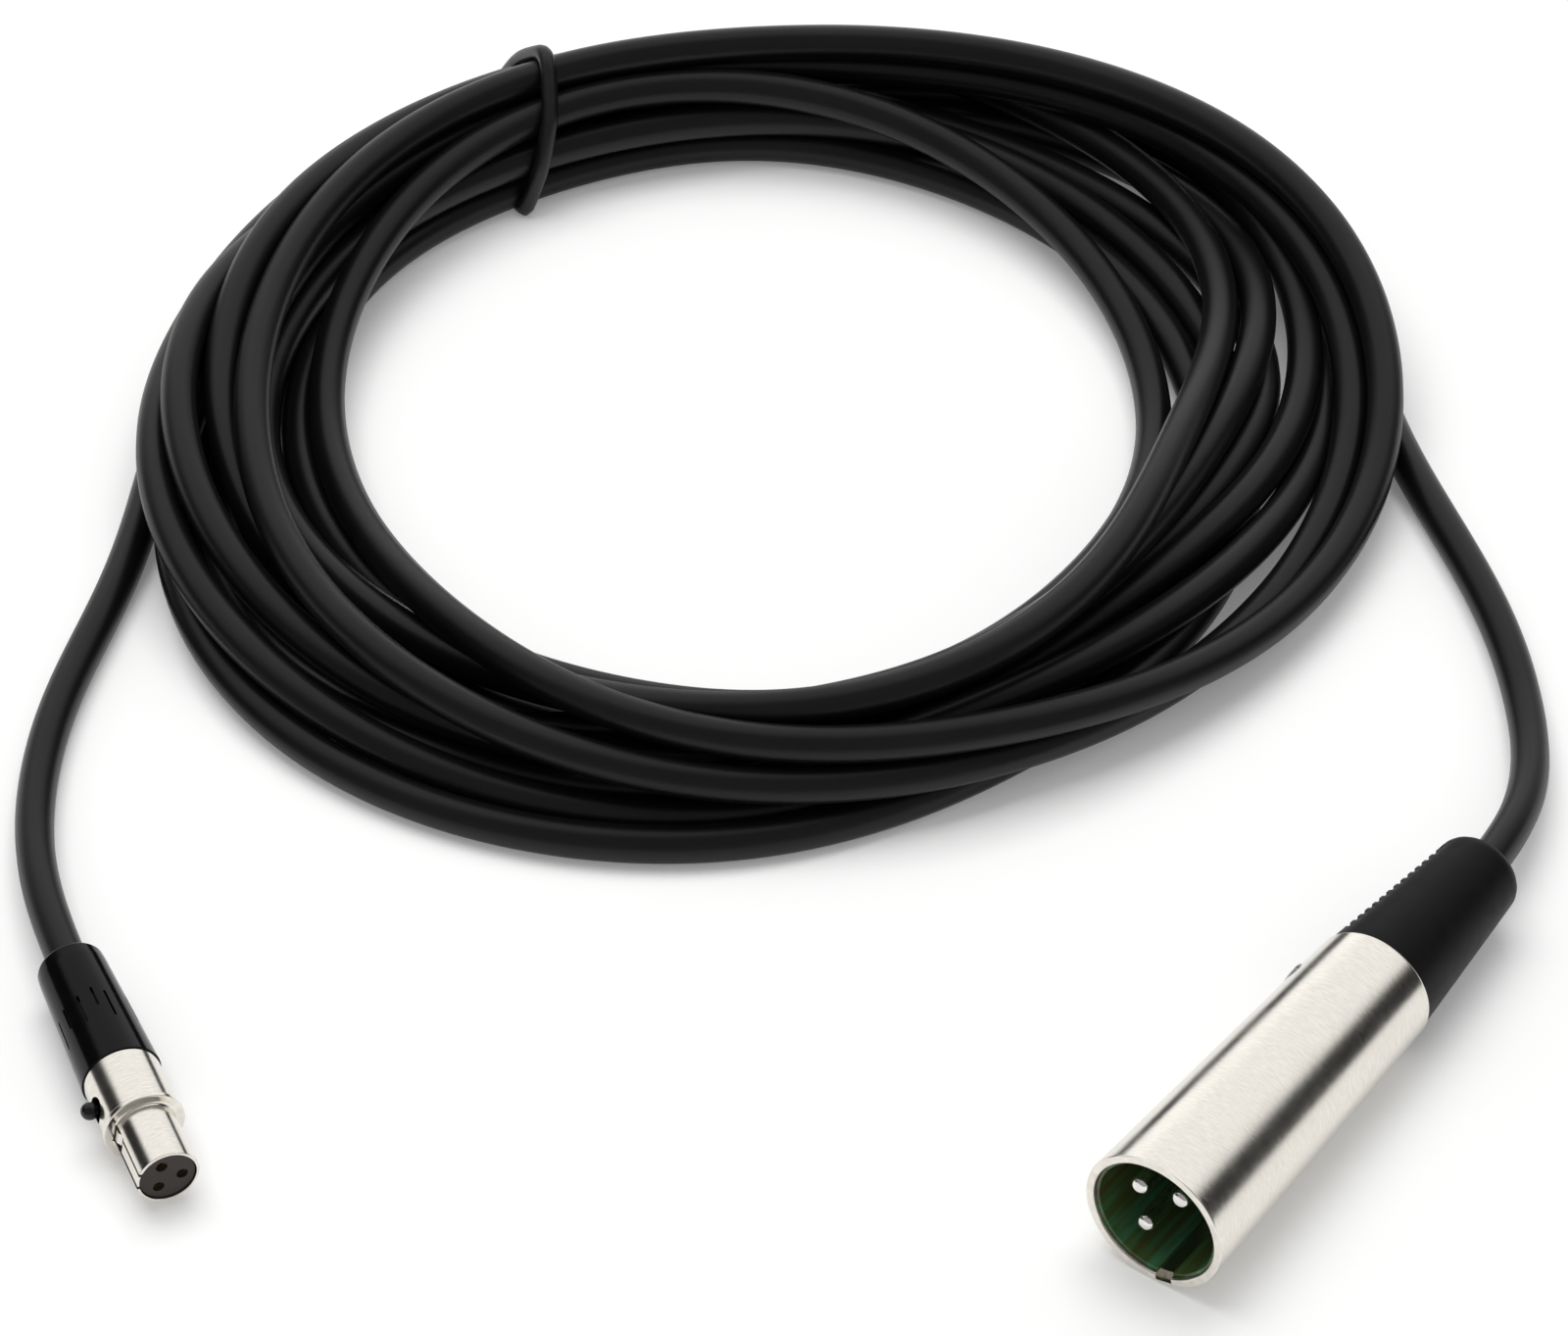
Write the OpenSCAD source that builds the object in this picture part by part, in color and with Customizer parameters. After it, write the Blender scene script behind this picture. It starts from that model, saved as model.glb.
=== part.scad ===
// Coiled balanced audio lead: a male three-pin XLR plug on one end, a female
// three-contact miniature XLR plug on the other, wound in a coil with a rubber ring
// round it. It lies on z = 0. Both plugs lie on their sides, mouths towards -Y.

/* [Cable] */
// Outer diameter of the jacket
cable_d = 5; // [4.6:0.1:5.2]
// Diameter of one insulated conductor
wire_d = 1.1; // [0.8:0.05:1.2]
// Diameter of the bare drain wire, which carries the screen
drain_d = 0.8; // [0.5:0.05:1.0]

/* [Coil] */
// Radius of the coil at the middle of its band of turns
coil_mid_r = 71; // [66:1:76]
// Width of the band of turns
coil_band = 34; // [30:1:40]
// Height of the stacked turns
coil_h = 16; // [15.6:0.1:20]
// Middle of the coil across the part
coil_x = -6; // [-8:1:-4]
// Middle of the coil along the part
coil_y = 34; // [32:1:36]

/* [Rubber tie ring] */
// Thickness of the ring's round cord
tie_cord_d = 2.4; // [1.6:0.1:3]
// Half the width of the gathered turns inside the ring
neck_half_w = 11.2; // [9:0.1:12]
// Half the height of the gathered turns inside the ring
neck_half_h = 7.2; // [6:0.1:7.4]
// Distance of the ring's middle from the middle of the coil
tie_r = 64; // [63:0.5:68]
// Direction of the ring from the middle of the coil
tie_angle = 118.5; // [110:0.5:127]
// Turn of the ring's own plane about the vertical
tie_turn = 104; // [95:0.5:125]
// Lean of the ring's plane from the vertical
tie_lean = 17; // [0:1:20]

/* [XLR shell] */
// Radius of the shell at its mouth
xlr_mouth_r = 9.45; // [9.4:0.05:9.8]
// Radius of the shell at its cable end
xlr_rear_r = 8.0; // [8:0.05:8.6]
// Length of the shell
xlr_shell_len = 49; // [48:0.5:54]
// Radius of the bore that the mating plug enters, before its liner
xlr_bore_r = 8.3; // [8.2:0.05:8.4]
// Radius of the hollow behind the contact block
xlr_hollow_r = 6.9; // [6.5:0.05:7]
// Depth of the mouth in front of the contact block
xlr_mouth_depth = 14.5; // [13:0.25:16]
// Width of the keyway
keyway_w = 2.2; // [1.6:0.1:3]
// Direction of the keyway round the plug, counted from straight up
keyway_angle = 194; // [190:1:200]
// Direction of the plug's axis on the surface
xlr_turn = 54; // [48:1:60]
// Middle of the mouth across the part
xlr_x = 43; // [40:1:46]
// Middle of the mouth along the part
xlr_y = -116; // [-120:1:-112]

/* [XLR contacts] */
// Thickness of the liner inside the mouth
liner_t = 0.35; // [0.3:0.05:0.45]
// Thickness of the contact block
xlr_block_t = 4.5; // [4:0.25:6]
// Radius of a contact pin
xlr_pin_r = 1.2; // [1.1:0.05:1.3]
// Step by which a pin is thicker inside the contact block
xlr_pin_step = 0.25; // [0.2:0.05:0.3]
// Radius of the circle that the pins stand on
xlr_pin_ring_r = 4.05; // [3.8:0.05:4.2]
// Depth of the pin tips behind the rim
xlr_pin_recess = 1.7; // [1:0.1:3]
// Length of the solder cups behind the block
xlr_cup_len = 6; // [5:0.25:7]
// Outer radius of a solder cup
xlr_cup_r = 1.6; // [1.55:0.05:1.7]
// Width of the tab that joins the screen to the shell
tab_w = 2.4; // [2:0.1:3]
// Thickness of the tab
tab_t = 0.5; // [0.4:0.05:0.6]
// Length of the tab behind the contact block
tab_len = 1.6; // [1:0.1:2.5]
// Direction of the first pin round the plug, counted from straight up
xlr_pin_angle = 57; // [50:1:64]

/* [XLR cable clamp] */
// Length of the clamp
clamp_len = 13; // [12:0.5:14]
// Gap between the clamp's two halves
clamp_gap = 0.6; // [0.4:0.1:1.0]
// Distance of each clamp screw from the cable's middle
clamp_screw_off = 4.6; // [4.4:0.1:4.8]
// Radius of the screws' shanks
screw_r = 0.9; // [0.7:0.05:1.0]
// Radius of the screws' heads
screw_head_r = 1.45; // [1.2:0.05:1.5]
// Height of the screws' heads
screw_head_h = 0.6; // [0.5:0.05:0.9]
// Distance of the retaining screw from the shell's cable end
retain_back = 7; // [6:0.25:9]
// Direction of the retaining screw, counted from straight up
retain_angle = 66; // [58:1:74]
// Height of the retaining screw's head above the shell
screw_proud = 0.25; // [0.1:0.05:0.3]

/* [XLR boot] */
// Length of the boot behind the shell
xlr_boot_len = 26; // [22:0.5:30]
// Radius of the boot next to the shell
xlr_boot_front_r = 7.75; // [7.5:0.05:7.9]
// Radius of the boot at its far end
xlr_boot_rear_r = 5.5; // [5:0.1:6.5]
// Rounding of the boot's far end
xlr_boot_round = 2; // [1:0.1:2.4]
// Length of the boot's spigot inside the shell
xlr_spigot_len = 2.2; // [1.5:0.1:2.6]
// Distance from one grip rib to the next
rib_pitch = 1.05; // [1:0.05:1.5]
// Radius of the grooves between the ribs
rib_groove_r = 0.35; // [0.25:0.05:0.4]
// Direction of the ribbed side, counted from straight up
rib_angle = 100; // [80:5:120]
// Span of the ribbed side round the boot
rib_span = 110; // [90:5:130]

/* [Mini plug shell] */
// Radius of the nose that enters the socket
nose_r = 3.93; // [3.9:0.01:4.0]
// Thickness of the nose's wall
nose_t = 0.38; // [0.3:0.01:0.4]
// Length of the nose
nose_len = 8.7; // [8:0.1:10]
// Radius of the flange
flange_r = 5.1; // [5.05:0.05:5.4]
// Thickness of the flange
flange_t = 0.8; // [0.6:0.05:1.0]
// Radius of the barrel
barrel_r = 4.85; // [4.8:0.05:4.95]
// Thickness of the barrel's wall
barrel_t = 0.5; // [0.4:0.05:0.6]
// Length of the barrel behind the flange
barrel_len = 7.9; // [7.5:0.1:9]
// Length of the barrel's neck inside the boot
neck_len = 4.6; // [4.2:0.1:5]
// Wall that the neck loses so that the boot fits over it
neck_step = 0.2; // [0.15:0.05:0.25]
// Width of the slot along the nose
slot_w = 2.4; // [2.2:0.1:2.6]
// Direction of the slot and latch, counted from straight up
latch_angle = 79; // [70:1:88]
// Direction of the plug's axis on the surface
mini_turn = 113; // [108:1:118]
// Middle of the nose's face across the part
mini_x = -73; // [-76:1:-70]
// Middle of the nose's face along the part
mini_y = -105; // [-108:1:-102]

/* [Mini plug contacts] */
// Outer radius of a socket contact
socket_r = 0.8; // [0.7:0.05:0.85]
// Radius of the hole in a socket contact
socket_bore_r = 0.5; // [0.45:0.01:0.55]
// Depth of the hole in a socket contact
socket_bore_len = 7; // [6:0.25:8]
// Radius of the circle that the sockets stand on
socket_ring_r = 1.85; // [1.8:0.05:1.9]
// Depth of the sockets behind the face
socket_recess = 1; // [0.6:0.1:1.5]
// Radius of the entry holes in the face
entry_r = 0.72; // [0.6:0.02:0.76]
// Where the two halves of the insert meet, behind the face of the nose
block_split = 9.5; // [8.5:0.25:11]
// Length of the solder cups behind the insert
mini_cup_len = 3; // [2.5:0.1:3.2]
// Direction of the first socket, counted from straight up
socket_angle = 19; // [10:1:28]

/* [Mini plug latch] */
// Width of the latch lever
lever_w = 1.6; // [1.2:0.1:1.7]
// Thickness of the latch lever
lever_t = 0.35; // [0.3:0.05:0.4]
// Height of the lever's underside above the plug's axis
lever_z = 3.0; // [2.95:0.05:3.05]
// Length of the hook along the plug
hook_len = 1.3; // [1:0.1:1.5]
// Height of the hook's crown above the plug's axis
hook_top = 3.75; // [3.7:0.01:3.8]
// Gap between the hook and the flange
hook_gap = 0.35; // [0.3:0.05:0.5]
// Radius of the ball on the release button
ball_r = 1.02; // [0.9:0.02:1.2]
// Height of the ball's middle above the plug's axis
ball_z = 5.6; // [5.6:0.05:5.8]
// Radius of the button's stem
stem_r = 0.6; // [0.5:0.05:0.7]
// Radius of the hole in the barrel round the button
button_hole_r = 1.6; // [1.5:0.05:1.8]
// Distance of the button behind the flange
button_back = 3.3; // [3:0.1:3.6]
// Radius of the pin that the lever turns on
pivot_r = 0.35; // [0.3:0.05:0.4]
// Length of the pin that the lever turns on
pivot_len = 4.4; // [3.8:0.1:4.6]

/* [Mini plug boot] */
// Length of the boot behind the barrel
mini_boot_len = 20.6; // [19:0.2:24]
// Radius of the boot next to the barrel
mini_boot_front_r = 5.05; // [5.0:0.05:5.1]
// Radius of the boot at its far end
mini_boot_rear_r = 4.3; // [4.1:0.05:4.6]
// Rounding of the boot's far end
mini_boot_round = 1.2; // [0.8:0.1:1.4]
// Number of slits round the boot
slit_count = 8; // [6:1:10]
// Length of a slit
slit_len = 4.4; // [3:0.2:5]
// Width of a slit
slit_w = 0.3; // [0.2:0.05:0.5]
// Depth of a slit
slit_deep = 0.7; // [0.5:0.05:0.8]
// Distance of the slits behind the barrel
slit_start = 6.4; // [6:0.2:8]
// Length of the crimped collar on the cable
crimp_len = 6; // [5:0.2:7]
// Length of the bare conductors between the jacket and the solder cups
core_run = 3.2; // [2.8:0.1:3.6]
// Thickness of the crimped collar's wall
crimp_t = 0.6; // [0.4:0.05:0.7]

/* [Clearances] */
// Gap round a piece that is pushed into a bore
push_fit = 0.05; // [0.03:0.01:0.08]
// Gap round the lever's pin
running_fit = 0.05; // [0.03:0.01:0.08]
// Gap between the jacket and what it passes through
cable_fit = 0.08; // [0.05:0.01:0.12]
// Gap between the ring and the turns that it holds
tie_fit = 0.15; // [0.1:0.05:0.25]

/* [Hidden] */
$fn = 48;

cable_r = cable_d / 2;
core_ring_r = 1.25;
tiny = 0.01;

// XLR plug: places along its own axis, from the mouth backwards
xlr_slope = atan((xlr_mouth_r - xlr_rear_r) / xlr_shell_len);
block_x0 = xlr_mouth_depth;
block_x1 = block_x0 + xlr_block_t;
xlr_cup_x1 = block_x1 + xlr_cup_len;
spigot_x0 = xlr_shell_len - xlr_spigot_len;
clamp_x1 = spigot_x0 - 0.6;
clamp_x0 = clamp_x1 - clamp_len;
xlr_jacket_x = clamp_x0 - 1.2;
xlr_end_x = xlr_shell_len + xlr_boot_len;
clamp_r = xlr_hollow_r - 0.15;
clamp_mid_x = (clamp_x0 + clamp_x1) / 2;
clamp_head_z = -2.4;
retain_x = xlr_shell_len - retain_back;
retain_top = shell_r(retain_x) + screw_proud;
rim_round = 0.3;
keyway_depth = 0.9;
notch_len = 1.2;
pin_angles = [xlr_pin_angle, xlr_pin_angle - 90, xlr_pin_angle + 90];
xlr_cup_bore_r = xlr_cup_r - 0.45;
xlr_cup_depth = 3.6;
tab_seat = 1;
tab_z = xlr_hollow_r - 1.7;
tab_top = sqrt(pow(xlr_bore_r - push_fit, 2) - pow(tab_w / 2, 2)) - push_fit;

// Mini plug: places along its own axis, from the face backwards
flange_x1 = nose_len + flange_t;
barrel_x1 = flange_x1 + barrel_len;
neck_x1 = barrel_x1 + neck_len;
mini_end_x = barrel_x1 + mini_boot_len;
mini_cup_x1 = neck_x1 + mini_cup_len;
mini_jacket_x = mini_cup_x1 + core_run;
crimp_x0 = mini_jacket_x + 0.6;
nose_bore_r = nose_r - nose_t;
barrel_bore_r = barrel_r - barrel_t;
neck_r = barrel_r - neck_step;
insert_r = nose_bore_r - push_fit;
collar_r = barrel_bore_r - push_fit;
insert_face = 0.25;
button_x = flange_x1 + button_back;
hook_x1 = nose_len - hook_gap;
pivot_x = neck_x1 - 1.6;
pivot_z = lever_z + lever_t / 2;
groove_floor = 1.85;
groove_side = 0.2;
groove_x0 = hook_x1 - hook_len - 0.4;
groove_x1 = pivot_x + pivot_r + 0.25;
socket_angles = [socket_angle, socket_angle - 120, socket_angle + 120];
mini_cup_bore_r = 0.55;
mini_cup_depth = 2.2;
mini_wire_d = min(wire_d, 0.9);

// Tie ring: the middle line of its cord, and its place
ring_half_w = neck_half_w + tie_fit + tie_cord_d / 2;
ring_half_h = neck_half_h + tie_fit + tie_cord_d / 2;
tie_z = ring_half_h * cos(tie_lean) + tie_cord_d / 2;
tie_slot_w = tie_cord_d + 4 * tie_fit;

// Frames of the two plugs
function turned_by(a, v) = [v[0] * cos(a) - v[1] * sin(a), v[0] * sin(a) + v[1] * cos(a), v[2]];
function xlr_point(x) = [xlr_x, xlr_y, xlr_mouth_r * cos(xlr_slope)]
    + turned_by(xlr_turn, [x * cos(xlr_slope), 0, -x * sin(xlr_slope)]);
function mini_point(x) = [mini_x, mini_y, flange_r] + turned_by(mini_turn, [x, 0, 0]);

// Routes of the uncoiled stretches, from the coil's wall to the plugs
floor_z = cable_r;
lead_xlr_route = concat([
    [79.2, 33, floor_z], [84.2, 23, floor_z], [88.5, 12, floor_z], [92, 2, floor_z],
    [94.5, -9, floor_z], [95.5, -20, floor_z], [95.3, -31, floor_z + 0.6], [94.3, -40, floor_z + 2.3]
], [xlr_point(xlr_end_x + 6), xlr_point(xlr_end_x)]);
lead_mini_route = concat([
    [-85, 7, floor_z], [-89.5, -3, floor_z], [-92.5, -14, floor_z], [-94.5, -25, floor_z],
    [-95, -36, floor_z], [-94.5, -46, floor_z + 0.5], [-93, -55, floor_z + 1.7]
], [mini_point(mini_end_x + 5), mini_point(mini_end_x)]);

// ---- Shared shapes ----

function unit(v) = v / norm(v);
function direction(p, i) = unit(p[min(i + 1, len(p) - 1)] - p[max(i - 1, 0)]);
function ring(c, t, r, n) =
    let (s = unit(cross(t, [0, 0, 1])), u = cross(s, t))
    [for (k = [0 : n - 1]) c + r * cos(360 * k / n) * s + r * sin(360 * k / n) * u];
function wall_faces(rings, n) = [
    for (i = [0 : rings - 2], k = [0 : n - 1])
        [i * n + k, (i + 1) * n + k, (i + 1) * n + (k + 1) % n, i * n + (k + 1) % n]
];
function arc(c, r, a0, a1, n) = [
    for (k = [0 : n]) c + r * [cos(a0 + (a1 - a0) * k / n), sin(a0 + (a1 - a0) * k / n)]
];
function oval(a, b, n) = [for (k = [0 : n - 1]) [a * cos(360 * k / n), b * sin(360 * k / n)]];

// Round tube swept along the points of p
module tube(p, r, n = 12) {
    last = (len(p) - 1) * n;
    polyhedron(
        points = [for (i = [0 : len(p) - 1]) each ring(p[i], direction(p, i), r, n)],
        faces = concat(
            wall_faces(len(p), n),
            [[for (k = [0 : n - 1]) k]],
            [[for (k = [0 : n - 1]) last + n - 1 - k]]
        ),
        convexity = 6
    );
}

// Closed loop of round cord along the flat outline p
module cord_loop(p, r, n = 10) {
    m = len(p);
    polyhedron(
        points = [for (i = [0 : m - 1]) each ring(
            [p[i][0], p[i][1], 0],
            unit([p[(i + 1) % m][0] - p[(i + m - 1) % m][0], p[(i + 1) % m][1] - p[(i + m - 1) % m][1], 0]),
            r, n)],
        faces = [
            for (i = [0 : m - 1], k = [0 : n - 1])
                [i * n + k, ((i + 1) % m) * n + k, ((i + 1) % m) * n + (k + 1) % n, i * n + (k + 1) % n]
        ],
        convexity = 6
    );
}

// Solid of revolution about the plug's axis, from [radius, distance] points
module turned(points) {
    rotate([0, 90, 0]) rotate_extrude() polygon(points);
}

// Round bar along the plug's axis
module bar(r, x0, x1) {
    translate([x0, 0, 0]) rotate([0, 90, 0]) cylinder(r = r, h = x1 - x0);
}

// Turns a shape that points straight up to its direction round the plug
module toward(angle) {
    rotate([-angle, 0, 0]) children();
}

module at_xlr() {
    translate(xlr_point(0)) rotate([0, xlr_slope, xlr_turn]) children();
}

module at_mini() {
    translate(mini_point(0)) rotate([0, 0, mini_turn]) children();
}

module at_tie() {
    translate([coil_x + tie_r * cos(tie_angle), coil_y + tie_r * sin(tie_angle), tie_z])
        rotate([tie_lean, 0, tie_turn])
        rotate([90, 0, 0])
        children();
}

// ---- Cable ----

function coil_outline() =
    let (a = coil_mid_r - coil_band / 2, b = coil_mid_r + coil_band / 2, low = cable_r, top = 2.4 * cable_r)
    concat(
        arc([b - low, low], low, -90, 0, 4),
        arc([b - top, coil_h - top], top, 0, 90, 6),
        arc([a + top, coil_h - top], top, 90, 180, 6),
        arc([a + low, low], low, 180, 270, 4)
    );

module cable_coil() {
    reach = 2 * (coil_band + tie_slot_w);
    color("#1c1c1e")
    difference() {
        translate([coil_x, coil_y, 0]) rotate_extrude($fn = 96) polygon(coil_outline());
        at_tie() difference() {
            cube([reach, reach, tie_slot_w], center = true);
            linear_extrude(tie_slot_w + 1, center = true)
                polygon(oval(neck_half_w, neck_half_h, 36));
        }
    }
}

module cable_lead_xlr() {
    color("#1c1c1e") tube(lead_xlr_route, cable_r);
}

module cable_lead_mini() {
    color("#1c1c1e") tube(lead_mini_route, cable_r);
}

module tie_ring() {
    color("#0d0d0e") at_tie() cord_loop(oval(ring_half_w, ring_half_h, 36), tie_cord_d / 2);
}

// ---- XLR plug ----

function shell_r(x) = xlr_mouth_r + (xlr_rear_r - xlr_mouth_r) * x / xlr_shell_len;

module xlr_shell() {
    edge = 0.25;
    color("#c9c6bf")
    at_xlr() difference() {
        turned(concat(
            arc([shell_r(rim_round) - rim_round, rim_round], rim_round, -90, 0, 4),
            [[xlr_rear_r, xlr_shell_len - edge], [xlr_rear_r - edge, xlr_shell_len]],
            [[xlr_hollow_r, xlr_shell_len], [xlr_hollow_r, block_x1]],
            [[xlr_bore_r, block_x1], [xlr_bore_r, rim_round]],
            [[xlr_bore_r + rim_round, 0]]
        ));
        toward(keyway_angle)
            translate([-tiny, -keyway_w / 2, xlr_bore_r - 1])
            cube([notch_len, keyway_w, 1 + (xlr_mouth_r - xlr_bore_r) * 0.6]);
        toward(retain_angle) translate([retain_x, 0, 0])
            cylinder(r = screw_r + push_fit, h = xlr_mouth_r + 1);
        toward(retain_angle) translate([retain_x, 0, retain_top - screw_head_h])
            cylinder(r = screw_head_r + 0.1, h = 3);
    }
}

module xlr_contact_block() {
    liner_r = xlr_bore_r - push_fit;
    color("#12301f")
    at_xlr() difference() {
        bar(liner_r, notch_len / 2, block_x1);
        bar(liner_r - liner_t, 0, block_x0);
        toward(keyway_angle) translate([0, -keyway_w / 2, liner_r - keyway_depth])
            cube([block_x0, keyway_w, keyway_depth + 1]);
        for (a = pin_angles) toward(a) translate([0, 0, xlr_pin_ring_r])
            bar(xlr_pin_r + xlr_pin_step + push_fit, 0, block_x1 + 1);
        toward(keyway_angle)
            translate([block_x1 - tab_seat, -tab_w / 2 - push_fit, tab_z - push_fit])
            cube([2 * tab_seat, tab_w + 2 * push_fit, xlr_bore_r]);
    }
}

// Tab that joins the screen's contact to the shell
module xlr_shell_tab() {
    color("#c8b060")
    at_xlr() toward(keyway_angle) translate([block_x1 - tab_seat, -tab_w / 2, tab_z])
        union() {
            cube([tab_seat + tab_len, tab_w, tab_t]);
            cube([tab_seat - push_fit, tab_w, tab_top - tab_z]);
        }
}

// Contact pin with a rounded tip and an open solder cup
module xlr_pin(angle) {
    tip = 0.8;
    x0 = xlr_pin_recess;
    color("#d8d8d4")
    at_xlr() toward(angle) translate([0, 0, xlr_pin_ring_r]) difference() {
        turned(concat(
            [[0, x0]],
            arc([xlr_pin_r - tip, x0 + tip], tip, -90, 0, 5),
            [[xlr_pin_r, block_x0], [xlr_pin_r + xlr_pin_step, block_x0]],
            [[xlr_pin_r + xlr_pin_step, block_x1], [xlr_cup_r, block_x1]],
            [[xlr_cup_r, xlr_cup_x1], [xlr_cup_bore_r, xlr_cup_x1]],
            [[xlr_cup_bore_r, xlr_cup_x1 - xlr_cup_depth], [0, xlr_cup_x1 - xlr_cup_depth]]
        ));
        translate([xlr_cup_x1 - 2.4, -xlr_cup_r, 0])
            cube([3, 2 * xlr_cup_r, xlr_cup_r + 1]);
    }
}

// Screw that holds the clamp in the shell
module xlr_retaining_screw() {
    slot = 0.4;
    tip_z = cable_r + 1.2;
    color("#9a9894")
    at_xlr() toward(retain_angle) translate([retain_x, 0, 0]) difference() {
        union() {
            translate([0, 0, tip_z]) cylinder(r = screw_r, h = retain_top - tiny - tip_z);
            translate([0, 0, retain_top - screw_head_h])
                cylinder(r = screw_head_r, h = screw_head_h);
        }
        translate([-screw_head_r - 1, -slot / 2, retain_top - screw_head_h / 2])
            cube([2 * screw_head_r + 2, slot, 1]);
    }
}

// Half of the clamp that the retaining screw enters
module xlr_clamp_base() {
    color("#b9b7b0")
    at_xlr() toward(retain_angle) difference() {
        bar(clamp_r, clamp_x0, clamp_x1);
        translate([clamp_x0 - 1, -clamp_r - 1, -2 * clamp_r])
            cube([clamp_len + 2, 2 * clamp_r + 2, 2 * clamp_r + clamp_gap / 2]);
        bar(cable_r + cable_fit, clamp_x0 - 1, clamp_x1 + 1);
        translate([retain_x, 0, cable_r]) cylinder(r = screw_r + push_fit, h = clamp_r);
        clamp_screw_holes(screw_r + push_fit, -1, clamp_gap / 2 + 4);
    }
}

// Half of the clamp that the two clamp screws pull in
module xlr_clamp_cap() {
    color("#b9b7b0")
    at_xlr() toward(retain_angle) difference() {
        bar(clamp_r, clamp_x0, clamp_x1);
        translate([clamp_x0 - 1, -clamp_r - 1, -clamp_gap / 2])
            cube([clamp_len + 2, 2 * clamp_r + 2, 2 * clamp_r]);
        bar(cable_r + cable_fit, clamp_x0 - 1, clamp_x1 + 1);
        clamp_screw_holes(screw_r + push_fit, -clamp_r - 1, 0);
        clamp_screw_holes(screw_head_r + push_fit, -clamp_r - 1, clamp_head_z);
    }
}

module clamp_screw_holes(r, z0, z1) {
    for (s = [-1, 1]) translate([clamp_mid_x, s * clamp_screw_off, z0])
        cylinder(r = r, h = z1 - z0);
}

module xlr_clamp_screws() {
    color("#8f8d88")
    at_xlr() toward(retain_angle) {
        clamp_screw_holes(screw_r, clamp_head_z - tiny, clamp_gap / 2 + 3.6);
        clamp_screw_holes(screw_head_r, clamp_head_z - screw_head_h, clamp_head_z);
    }
}

function boot_r(x) = xlr_boot_front_r
    + (xlr_boot_rear_r - xlr_boot_front_r) * (x - xlr_shell_len) / xlr_boot_len;

module xlr_boot() {
    spigot_r = xlr_hollow_r - push_fit;
    hole_r = cable_r + cable_fit;
    round_x = xlr_end_x - xlr_boot_round;
    rib_x0 = xlr_shell_len + 2.6;
    rib_x1 = round_x - 0.6;
    color("#1a1a1c")
    at_xlr() difference() {
        turned(concat(
            [[hole_r, spigot_x0], [spigot_r, spigot_x0], [spigot_r, xlr_shell_len]],
            [[xlr_boot_front_r, xlr_shell_len]],
            arc([boot_r(round_x) - xlr_boot_round, round_x], xlr_boot_round, 0, 90, 6),
            [[hole_r, xlr_end_x]]
        ));
        for (x = [rib_x0 : rib_pitch : rib_x1]) toward(rib_angle)
            translate([x, 0, 0]) rotate([0, 90, 0]) rotate([0, 0, 180 - rib_span / 2])
            rotate_extrude(angle = rib_span)
            translate([boot_r(x) + rib_groove_r * 0.35, 0]) circle(r = rib_groove_r, $fn = 16);
    }
}

module xlr_cable_end() {
    color("#1c1c1e") at_xlr() bar(cable_r, xlr_jacket_x, xlr_end_x);
}

// Conductor that leaves the jacket straight, bends, and enters a solder cup straight
module conductor(x_jacket, r_jacket, x_cup, r_cup, depth, angle, d) {
    steps = 6;
    x0 = x_jacket - 0.4;
    x1 = x_cup + 0.3;
    bend = [for (i = [0 : steps]) let (t = i / steps, s = t * t * (3 - 2 * t))
        [x0 + (x1 - x0) * t, r_jacket + (r_cup - r_jacket) * s]];
    line = concat([[x_jacket, r_jacket]], bend, [[x_cup - depth, r_cup]]);
    tube([for (q = line) [q[0], q[1] * sin(angle), q[1] * cos(angle)]], d / 2, 8);
}

module xlr_wire(angle, d, colour) {
    color(colour) at_xlr()
        conductor(xlr_jacket_x, core_ring_r, xlr_cup_x1, xlr_pin_ring_r, xlr_cup_depth - 0.4, angle, d);
}

// ---- Mini plug ----

module mini_shell() {
    color("#c9c6bf")
    at_mini() difference() {
        turned([
            [nose_bore_r, 0], [nose_r - 0.12, 0], [nose_r, 0.12], [nose_r, nose_len],
            [flange_r - 0.1, nose_len], [flange_r, nose_len + 0.1],
            [flange_r, flange_x1 - 0.1], [flange_r - 0.1, flange_x1],
            [barrel_r, flange_x1], [barrel_r, barrel_x1],
            [neck_r, barrel_x1], [neck_r, neck_x1],
            [barrel_bore_r, neck_x1], [barrel_bore_r, flange_x1],
            [nose_bore_r, flange_x1]
        ]);
        toward(latch_angle) translate([-1, -slot_w / 2, 0])
            cube([nose_len + 1, slot_w, flange_r + 1]);
        toward(latch_angle) translate([button_x, 0, 0])
            cylinder(r = button_hole_r, h = barrel_r + 1);
    }
}

// Seats of the three sockets and the latch's groove, which run through both halves
module mini_block_openings() {
    for (a = socket_angles) toward(a) translate([0, 0, socket_ring_r]) {
        bar(entry_r, 0, socket_recess);
        bar(socket_r + push_fit, socket_recess - tiny, neck_x1 + 1);
    }
    toward(latch_angle)
        translate([groove_x0, -lever_w / 2 - groove_side, groove_floor])
        cube([groove_x1 - groove_x0, lever_w + 2 * groove_side, collar_r]);
}

// Front half of the insert, with the entry holes in its face
module mini_contact_face() {
    color("#161617")
    at_mini() difference() {
        bar(insert_r, insert_face, block_split);
        mini_block_openings();
    }
}

// Rear half of the insert, with the collar that carries the lever's pin
module mini_contact_block() {
    color("#161617")
    at_mini() difference() {
        union() {
            bar(insert_r, block_split, neck_x1);
            bar(collar_r, pivot_x - 2.2, neck_x1);
        }
        mini_block_openings();
        toward(latch_angle) translate([pivot_x, collar_r, pivot_z])
            rotate([90, 0, 0]) cylinder(r = pivot_r + running_fit, h = 2 * collar_r);
    }
}

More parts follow.
